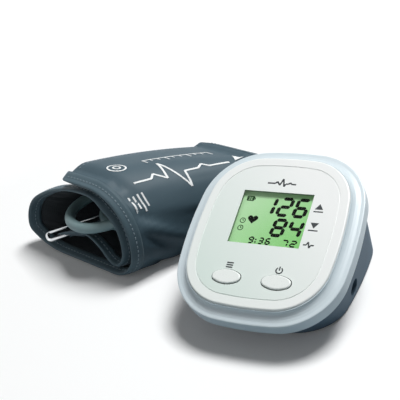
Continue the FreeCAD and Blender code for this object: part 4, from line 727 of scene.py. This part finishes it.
def settle_cloth():
    """Lets the middle layer of the sheet settle as cloth, held at its hems, a little slack and weighed down.

    Gives how far each of its places moves, in millimetres: soft creases of a millimetre or two.
    """
    rows = []
    for share in SHEET_SHARES:
        along = share * ROLL_LENGTH
        from_hem = min(along, ROLL_LENGTH - along) - HEM_HELD
        free = min(1.0, max(0.0, from_hem / EDGE_REACH))
        line = middle_line(share)
        reached = distances(line)
        row = []
        for (place, way), gone in zip(line, reached):
            at = roll_point(share, place)
            push = RUMPLE * noise.noise(at / RUMPLE_SIZE) + side_fold(along, reached[-1] - gone)
            row.append((at, (ACROSS * way.x + UPWARD * way.y) * push * free))
        rows.append(row)
    count = len(rows[0])
    moves = [[Vector((0, 0, 0)) for _ in row] for row in rows]
    faces = []
    for j in range(SHEET_STEPS):
        for i in range(count - 1):
            a, b = j * count + i, (j + 1) * count + i
            faces.append((a, a + 1, b + 1, b))
    mesh = bpy.data.meshes.new("settling")
    mesh.from_pydata([tuple((at + rumple) * MM) for row in rows for at, rumple in row], [], faces)
    cloth = bpy.data.objects.new("settling", mesh)
    scene = bpy.context.scene
    scene.collection.objects.link(cloth)
    held = cloth.vertex_groups.new(name="held")
    for j, share in enumerate(SHEET_SHARES):
        firmly = min(share, 1 - share) * ROLL_LENGTH <= HEM_HELD
        held.add(list(range(j * count, (j + 1) * count)), 1.0 if firmly else CLOTH_HOLD, "REPLACE")
    settings = cloth.modifiers.new("settling", "CLOTH").settings
    settings.quality = 6
    settings.mass = 0.35
    settings.tension_stiffness = 12
    settings.compression_stiffness = 12
    settings.shear_stiffness = 4
    settings.bending_stiffness = 0.15
    settings.shrink_min = -CLOTH_SLACK
    settings.shrink_max = -CLOTH_SLACK
    settings.vertex_group_mass = "held"
    for number in range(1, CLOTH_FRAMES + 1):
        scene.frame_set(number)
    found = cloth.evaluated_get(bpy.context.evaluated_depsgraph_get()).data
    for j, row in enumerate(rows):
        for i, (at, _) in enumerate(row):
            move = found.vertices[j * count + i].co / MM - at
            moves[j][i] = move * min(1.0, CLOTH_LIMIT / max(move.length, 1e-6))
    bpy.data.objects.remove(cloth)
    scene.frame_set(1)
    return moves


def layer_rows(shares, outer, inner, moves=None, first=0, last=FLAP, rounded=True):
    """Rows of a layer of the roll: for each place its outer and inner point, and its place on the flat cloth.

    outer and inner give the layer's two offsets from the middle line at a share of the roll's length.
    """
    rows = []
    for j, share in enumerate(shares):
        line = middle_line(share, first, last)
        reached = distances(line)
        row = []
        for i, (place, way) in enumerate(line):
            from_edge = min(reached[i], reached[-1] - reached[i])
            left = edge_share(from_edge) if rounded else 1.0
            middle = roll_point(share, place)
            if moves:
                middle += moves[j][i]
            out = (ACROSS * way.x + UPWARD * way.y) * left
            ends = on_table(middle + out * outer(share)), on_table(middle + out * inner(share))
            row.append((*ends, (reached[i], share * ROLL_LENGTH)))
        rows.append(row)
    return rows


def layer_piece(name, rows, materials):
    """A closed layer of the roll from its rows, with cloth coordinates in metres."""
    count, steps = len(rows[0]), len(rows) - 1
    points = [place[side] * MM for side in (0, 1) for row in rows for place in row]
    flats = [[x * MM for x in place[2]] for side in (0, 1) for row in rows for place in row]
    level = (steps + 1) * count
    faces = []
    kinds = []
    for j in range(steps):
        for i in range(count - 1):
            a, b = j * count + i, (j + 1) * count + i
            faces.append((a, a + 1, b + 1, b))
            kinds.append(0)
            faces.append((level + a, level + b, level + b + 1, level + a + 1))
            kinds.append(len(materials) - 1)
    for i in range(count - 1):
        a, b = i, steps * count + i
        faces.append((a, level + a, level + a + 1, a + 1))
        faces.append((b, b + 1, level + b + 1, level + b))
        kinds.extend((0, 0))
    for j in range(steps):
        a, b = j * count, (j + 1) * count
        c, d = a + count - 1, b + count - 1
        faces.append((a, b, level + b, level + a))
        faces.append((c, level + c, level + d, d))
        kinds.extend((0, 0))
    obj = new_piece(name, points, faces, materials, "cuff")
    obj.data.polygons.foreach_set("material_index", kinds)
    layer = obj.data.uv_layers.new(name="cloth")
    for loop in obj.data.loops:
        layer.data[loop.index].uv = flats[loop.vertex_index]
    return obj


STITCH_LONG, STITCH_PITCH, STITCH_WIDE, STITCH_HIGH = 2.3, 3.4, 0.4, 0.35
STITCH_SUNK, STITCH_NARROW, STITCH_SHORT = 0.1, 0.18, 0.5


def sewn_line(name, lines):
    """Rows of stitches: each line is the places on the cloth that its thread follows, with the way out."""
    points = []
    faces = []
    for line in lines:
        reached = distances(line)
        k = 0
        start = STITCH_PITCH
        while start + STITCH_LONG < reached[-1] - STITCH_PITCH:
            ends = []
            for along in (start, start + STITCH_LONG):
                while reached[k + 1] < along:
                    k += 1
                part = (along - reached[k]) / (reached[k + 1] - reached[k])
                ends.append(line[k][0].lerp(line[k + 1][0], part))
            start += STITCH_PITCH
            out = line[k][1]
            if min((end + out * STITCH_HIGH).z for end in ends) < 0:
                continue
            way = (ends[1] - ends[0]).normalized()
            side = way.cross(out)
            first = len(points)
            foot, back = (-STITCH_SUNK, STITCH_WIDE, 0.0), (STITCH_HIGH, STITCH_NARROW, STITCH_SHORT)
            for rise, narrow, short in (foot, back):
                for end, sense in ((ends[0], 1), (ends[1], -1)):
                    for hand in (-1, 1):
                        points.append((end + way * sense * short + side * hand * narrow + out * rise) * MM)
            for face in ((0, 1, 3, 2), (4, 6, 7, 5), (0, 4, 5, 1), (2, 3, 7, 6), (0, 2, 6, 4), (1, 5, 7, 3)):
                faces.append([first + corner for corner in face])
    new_piece(name, points, faces, THREAD, "cuff")


def cloth_place(rows, v, w):
    """A place on the outside of the sheet: v along the roll, and w in from the flap's free edge."""
    where = min(max(v / ROLL_LENGTH * SHEET_STEPS, 0.0), SHEET_STEPS - 1e-6)
    ends = []
    for row in rows[int(where):int(where) + 2]:
        left = w
        for i in range(len(row) - 1, 0, -1):
            step = (row[i - 1][0] - row[i][0]).length
            if left <= step:
                break
            left -= step
        ends.append(row[i][0].lerp(row[i - 1][0], left / step))
    return ends[0].lerp(ends[1], where - int(where))


def cloth_frame(rows, v, w):
    """A place on the outside of the sheet with the way out of it."""
    along = cloth_place(rows, v + 0.5, w) - cloth_place(rows, v - 0.5, w)
    inward = cloth_place(rows, v, w + 0.5) - cloth_place(rows, v, w - 0.5)
    return cloth_place(rows, v, w), inward.cross(along).normalized()


PRINT_STEP, PRINT_LOW, PRINT_HIGH = 1.5, -0.1, 0.3


def ribbons(rows, marks):
    """Points and faces of printed strokes on the cloth: a mark is places (v, w) with the stroke's width."""
    points = []
    faces = []
    for mark in marks:
        places = []
        for one, other in zip(mark, mark[1:]):
            one, other = Vector(one), Vector(other)
            parts = max(1, math.ceil((other - one).xy.length / PRINT_STEP))
            places.extend(one.lerp(other, k / parts) for k in range(parts))
        places.append(Vector(mark[-1]))
        first = len(points)
        for k, place in enumerate(places):
            way = (places[min(k + 1, len(places) - 1)] - places[max(k - 1, 0)]).xy.normalized()
            side = Vector((-way.y, way.x)) * place.z / 2
            for rise in (PRINT_LOW, PRINT_HIGH):
                for hand in (-1, 1):
                    at, out = cloth_frame(rows, place.x + side.x * hand, place.y + side.y * hand)
                    points.append((at + out * rise) * MM)
        for k in range(len(places) - 1):
            a, b = first + 4 * k, first + 4 * (k + 1)
            for one, other in ((0, 1), (1, 3), (3, 2), (2, 0)):
                faces.append((a + one, a + other, b + other, b + one))
        end = first + 4 * (len(places) - 1)
        faces.append((first, first + 2, first + 3, first + 1))
        faces.append((end, end + 1, end + 3, end + 2))
    return points, faces


def build_cuff_print(rows):
    """Plain white marks: a pulse line, a ruled scale, two rings, rows of dashes and an index triangle."""
    stroke = 1.5
    pulse = [(24, 53), (38, 53), (42, 49), (46, 53), (49, 56), (54, 38), (61, 67), (65, 53), (76, 53),
             (81, 49.5), (85, 53), (102, 53)]
    marks = [[(*one, stroke), (*other, stroke)] for one, other in zip(pulse, pulse[1:])]
    marks.append([(50, 28, 1.0), (104, 28, 1.0)])
    for i in range(10):
        v = 50 + 6 * i
        marks.append([(v, 28, 0.9), (v, 28 + (6 if i % 3 == 0 else 3.5), 0.9)])
    for v, radius in ((27, 6), (27, 2.4)):
        turns = [2 * math.pi * k / 24 for k in range(25)]
        marks.append([(v + radius * math.cos(t), 31 + radius * math.sin(t), 1.1) for t in turns])
    for i in range(4):
        marks.append([(13 + 3.4 * i, 62, 1.3), (13 + 3.4 * i, 76 - 3 * (i % 2), 1.3)])
    marks.append([(112, 44, 0.2), (112, 52, 8.0)])
    points, faces = ribbons(rows, marks)
    new_piece("cuff_print", points, faces, WHITE_INK, "cuff", smoothed=False)


BINDING_DEPTHS = (-BINDING_THICKNESS, -0.3, 0.1, 0.7, 1.5, 2.5, 4, 6, BINDING_WIDTH)
HEM_SEAM, FLAP_SEAM = 4, 5


def build_cuff():
    moves = settle_cloth()
    rows = layer_rows(SHEET_SHARES, sheet_half, lambda share: -sheet_half(share), moves)
    sheet = layer_piece("cuff_sheet", rows, [NYLON, LINING_WITH_PAINTED_SHADE])
    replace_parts(sheet, "cuff_cloth", "cuff_lining", "cuff_bladder")

    stitched = []
    for end in ("near", "far"):
        shares = [depth / ROLL_LENGTH for depth in BINDING_DEPTHS]
        seam = HEM_SEAM / ROLL_LENGTH
        if end == "far":
            shares = [1 - share for share in reversed(shares)]
            seam = 1 - seam
        tape_rows = layer_rows(shares, tape_half, lambda share: -tape_half(share))
        tape = layer_piece(f"cuff_binding_{end}", tape_rows, [TAPE])
        if end == "near":
            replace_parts(tape, "cuff_binding")
        row = layer_rows([seam], tape_half, lambda share: -tape_half(share))[0]
        for side in (0, 1):
            stitched.append([(place[side], (place[side] - place[1 - side]).normalized()) for place in row])
    stitched.append([cloth_frame(rows, v, FLAP_SEAM) for v in range(12, 122, 3)])
    sewn_line("cuff_stitches", stitched)
    build_cuff_print(rows)

    near, far = SHEET_STEPS // 5, SHEET_STEPS - SHEET_STEPS // 5
    hook_count = len(middle_line(0.5, HIGH, FLAP))
    hook_moves = [row[-hook_count:] for row in moves[near:far + 1]]
    hooks = layer_rows(SHEET_SHARES[near:far + 1], lambda share: -HALF, lambda share: -HALF - HOOK_THICKNESS,
                       hook_moves, HIGH, FLAP, rounded=False)
    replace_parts(layer_piece("cuff_hooks", hooks, [HOOKS]), "hook_patch")


build_cuff()


# air hose: the route of its two flat loops inside the roll, in millimetres
HOSE_DIAMETER, HOSE_LENGTH = 8, 514
HANK_RADIUS, HANK_ACROSS = 27.5, -2
HANK_STARTS, HANK_END, HANK_BOW = (27, 52), 90, 2
HANK_RISE, HANK_FALL = 39.6, 10.4
HANK_LEAD, HANK_TAIL, TAIL_VEER, TAIL_DROP = 34, 16, 2.5, 1.5


def hose_route():
    """Points of the hose in metres, from its port in the cuff to its plug."""
    square = Vector((ALONG.y, -ALONG.x, 0))
    radius, middle, stop = HANK_RADIUS, HANK_ACROSS, HANK_END
    first = HANK_STARTS[0]
    flat = [(first + HANK_LEAD, middle + radius - HANK_BOW), (first + HANK_LEAD / 2, middle + radius)]
    for loop, start in enumerate(HANK_STARTS):
        for step in range(5):
            turn = math.radians(90 + 45 * step)
            flat.append((start + radius * math.cos(turn), middle + radius * math.sin(turn)))
        flat.append(((start + stop) / 2, middle - radius - HANK_BOW))
        for step in range(5):
            turn = math.radians(-90 + 45 * step)
            flat.append((stop + radius * math.cos(turn), middle + radius * math.sin(turn)))
        if loop == 0:
            flat.append(((HANK_STARTS[1] + stop) / 2, middle + radius + HANK_BOW))
    flat.append((stop - HANK_TAIL / 2, middle + radius + TAIL_VEER))
    flat.append((stop - HANK_TAIL, middle + radius + 1.3 * TAIL_VEER))
    loop_length = 2 * math.pi * radius + 2 * (stop - first)
    points = []
    gone = 0.0
    for i, (p, q) in enumerate(flat):
        if i:
            gone += math.hypot(p - flat[i - 1][0], q - flat[i - 1][1])
        rise = HANK_RISE - HANK_FALL * gone / loop_length
        points.append(CUFF_NEAR + ALONG * p + square * q + Vector((0, 0, rise)))
    points[-1].z -= TAIL_DROP
    points[-2].z -= TAIL_DROP / 2
    return [p * MM for p in points]


def build_hose():
    points = hose_route()
    curve = bpy.data.curves.new("air_hose_tube", "CURVE")
    curve.dimensions = "3D"
    curve.bevel_depth = HOSE_DIAMETER / 2 * MM
    curve.bevel_resolution = 6
    curve.resolution_u = 10
    curve.use_fill_caps = True
    spline = curve.splines.new("NURBS")
    spline.points.add(len(points) - 1)
    for place, point in zip(spline.points, points):
        place.co = (*point, 1.0)
    spline.order_u = 3
    spline.use_endpoint_u = True
    curve.materials.append(HOSE)
    hose = bpy.data.objects.new("air_hose_tube", curve)
    bpy.context.scene.collection.objects.link(hose)
    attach(hose, "cuff")
    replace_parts(hose, "air_hose")


build_hose()


# the strap that is sewn round the wire ring: the ends of the wire's inner leg, in millimetres
RING_NEAR, RING_FAR = Vector((-190.25, -3.77, 12.21)), Vector((-95.89, 89.61, 8.35))
STRAP_INNER, STRAP_OUTER, STRAP_INSET = 1.8, 2.6, 9


def build_ring_strap():
    start, stop = RING_NEAR * MM, RING_FAR * MM
    axis = (stop - start).normalized()
    side = axis.cross(Vector((0, 0, 1))).normalized()
    rise = side.cross(axis)
    inner, outer = STRAP_INNER * MM, STRAP_OUTER * MM
    inset = STRAP_INSET * MM
    long = (stop - start).length - 2 * inset
    count, steps = 20, 24
    points = []
    for radius in (outer, inner):
        for j in range(steps + 1):
            middle = start + axis * (inset + long * j / steps)
            for i in range(count):
                turn = 2 * math.pi * i / count
                points.append(middle + (side * math.cos(turn) + rise * math.sin(turn)) * radius)
    level = (steps + 1) * count
    faces = []
    for j in range(steps):
        for i in range(count):
            after = (i + 1) % count
            a, b = j * count, (j + 1) * count
            faces.append((a + i, a + after, b + after, b + i))
            faces.append((level + a + i, level + b + i, level + b + after, level + a + after))
    for i in range(count):
        after = (i + 1) % count
        end = steps * count
        faces.append((i, level + i, level + after, after))
        faces.append((end + i, end + after, level + end + after, level + end + i))
    strap = new_piece("ring_strap_webbing", points, faces, NYLON, "cuff")
    layer = strap.data.uv_layers.new(name="cloth")
    for loop in strap.data.loops:
        place = strap.data.vertices[loop.vertex_index].co
        layer.data[loop.index].uv = ((place - start).dot(axis), place.z)
    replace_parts(strap, "ring_strap")


build_ring_strap()


# floor, light and camera
def seen_ray(tree):
    """One for rays that show the stage, straight, reflected or through the window, and nought for others."""
    path = add(tree, "ShaderNodeLightPath")
    shown = add(tree, "ShaderNodeMath", {0: path.outputs["Is Camera Ray"], 1: path.outputs["Is Glossy Ray"]},
                operation="MAXIMUM")
    either = add(tree, "ShaderNodeMath", {0: shown.outputs[0], 1: path.outputs["Is Transmission Ray"]},
                 operation="MAXIMUM")
    return either.outputs[0]


def build_stage():
    material, tree, shader = new_material("floor_paper_white", Roughness=0.9)
    shader.inputs["Base Color"].default_value = linear("#f6f7f7")
    output = tree.nodes["Material Output"]
    place = add(tree, "ShaderNodeTexCoord").outputs["Object"]
    distance = add(tree, "ShaderNodeVectorMath", {0: place}, operation="LENGTH")
    rising = add(tree, "ShaderNodeMapRange", {"Value": distance.outputs["Value"], "From Min": 0.3,
                                              "From Max": 1.5, "To Min": 0.03, "To Max": 1.0})
    white = add(tree, "ShaderNodeEmission", {"Color": (1.0, 1.0, 1.0, 1.0),
                                             "Strength": rising.outputs["Result"]})
    both = add(tree, "ShaderNodeAddShader", {0: shader.outputs[0], 1: white.outputs[0]})
    dim = add(tree, "ShaderNodeBsdfDiffuse", {"Color": linear("#93a4ae")})
    mixed = add(tree, "ShaderNodeMixShader", {0: seen_ray(tree), 1: dim.outputs[0], 2: both.outputs[0]})
    tree.links.new(mixed.outputs[0], output.inputs["Surface"])
    reach = 4.0
    level = -0.0002
    mesh = bpy.data.meshes.new("floor")
    corners = [(-reach, -reach, level), (reach, -reach, level), (reach, reach, level), (-reach, reach, level)]
    mesh.from_pydata(corners, [], [(0, 1, 2, 3)])
    mesh.materials.append(material)
    floor = bpy.data.objects.new("floor", mesh)
    bpy.context.scene.collection.objects.link(floor)


def build_world():
    world = bpy.data.worlds.new("studio")
    bpy.context.scene.world = world
    world.use_nodes = True
    tree = world.node_tree
    ambient = tree.nodes["Background"]
    ambient.inputs["Color"].default_value = (0.97, 0.99, 1.0, 1.0)
    ambient.inputs["Strength"].default_value = 0.1
    seen = add(tree, "ShaderNodeBackground", {"Color": (1.0, 1.0, 1.0, 1.0), "Strength": 1.0})
    mixed = add(tree, "ShaderNodeMixShader", {0: seen_ray(tree), 1: ambient.outputs[0], 2: seen.outputs[0]})
    tree.links.new(mixed.outputs[0], tree.nodes["World Output"].inputs["Surface"])


def add_softbox(name, place, aim, size, power):
    data = bpy.data.lights.new(name, "AREA")
    data.shape = "SQUARE"
    data.size = size
    data.energy = power
    lamp = bpy.data.objects.new(name, data)
    bpy.context.scene.collection.objects.link(lamp)
    lamp.location = place
    lamp.rotation_euler = (Vector(aim) - Vector(place)).to_track_quat("-Z", "Y").to_euler()


CAMERA_PLACE = Vector((226.0, -438.4, 383.0)) * MM
CAMERA_RIGHT = Vector((0.8849, 0.4171, -0.2075))
CAMERA_UP = Vector((-0.073, 0.5641, 0.8225))
CAMERA_LENS = 81.0


def build_camera():
    data = bpy.data.cameras.new("camera")
    data.lens = CAMERA_LENS
    data.sensor_width = 36.0
    camera = bpy.data.objects.new("camera", data)
    bpy.context.scene.collection.objects.link(camera)
    right = CAMERA_RIGHT.normalized()
    back = right.cross(CAMERA_UP).normalized()
    up = back.cross(right)
    turn = Matrix((right, up, back)).transposed().to_4x4()
    camera.matrix_world = Matrix.Translation(CAMERA_PLACE) @ turn
    bpy.context.scene.camera = camera


# the key light stands high, to the right and a little behind, and a weak one fills in at the left
MIDDLE = (-0.05, 0.02, 0.03)
LAMP_SIZE = 0.8
KEY_PLACE, KEY_POWER = (0.46, 0.8, 2.05), 54.0
FILL_PLACE, FILL_POWER = (-0.5, -0.9, 0.6), 1.2

build_stage()
build_world()
add_softbox("key", KEY_PLACE, MIDDLE, LAMP_SIZE, KEY_POWER)
add_softbox("fill", FILL_PLACE, MIDDLE, LAMP_SIZE, FILL_POWER)
build_camera()
bpy.context.scene.view_settings.view_transform = "Standard"
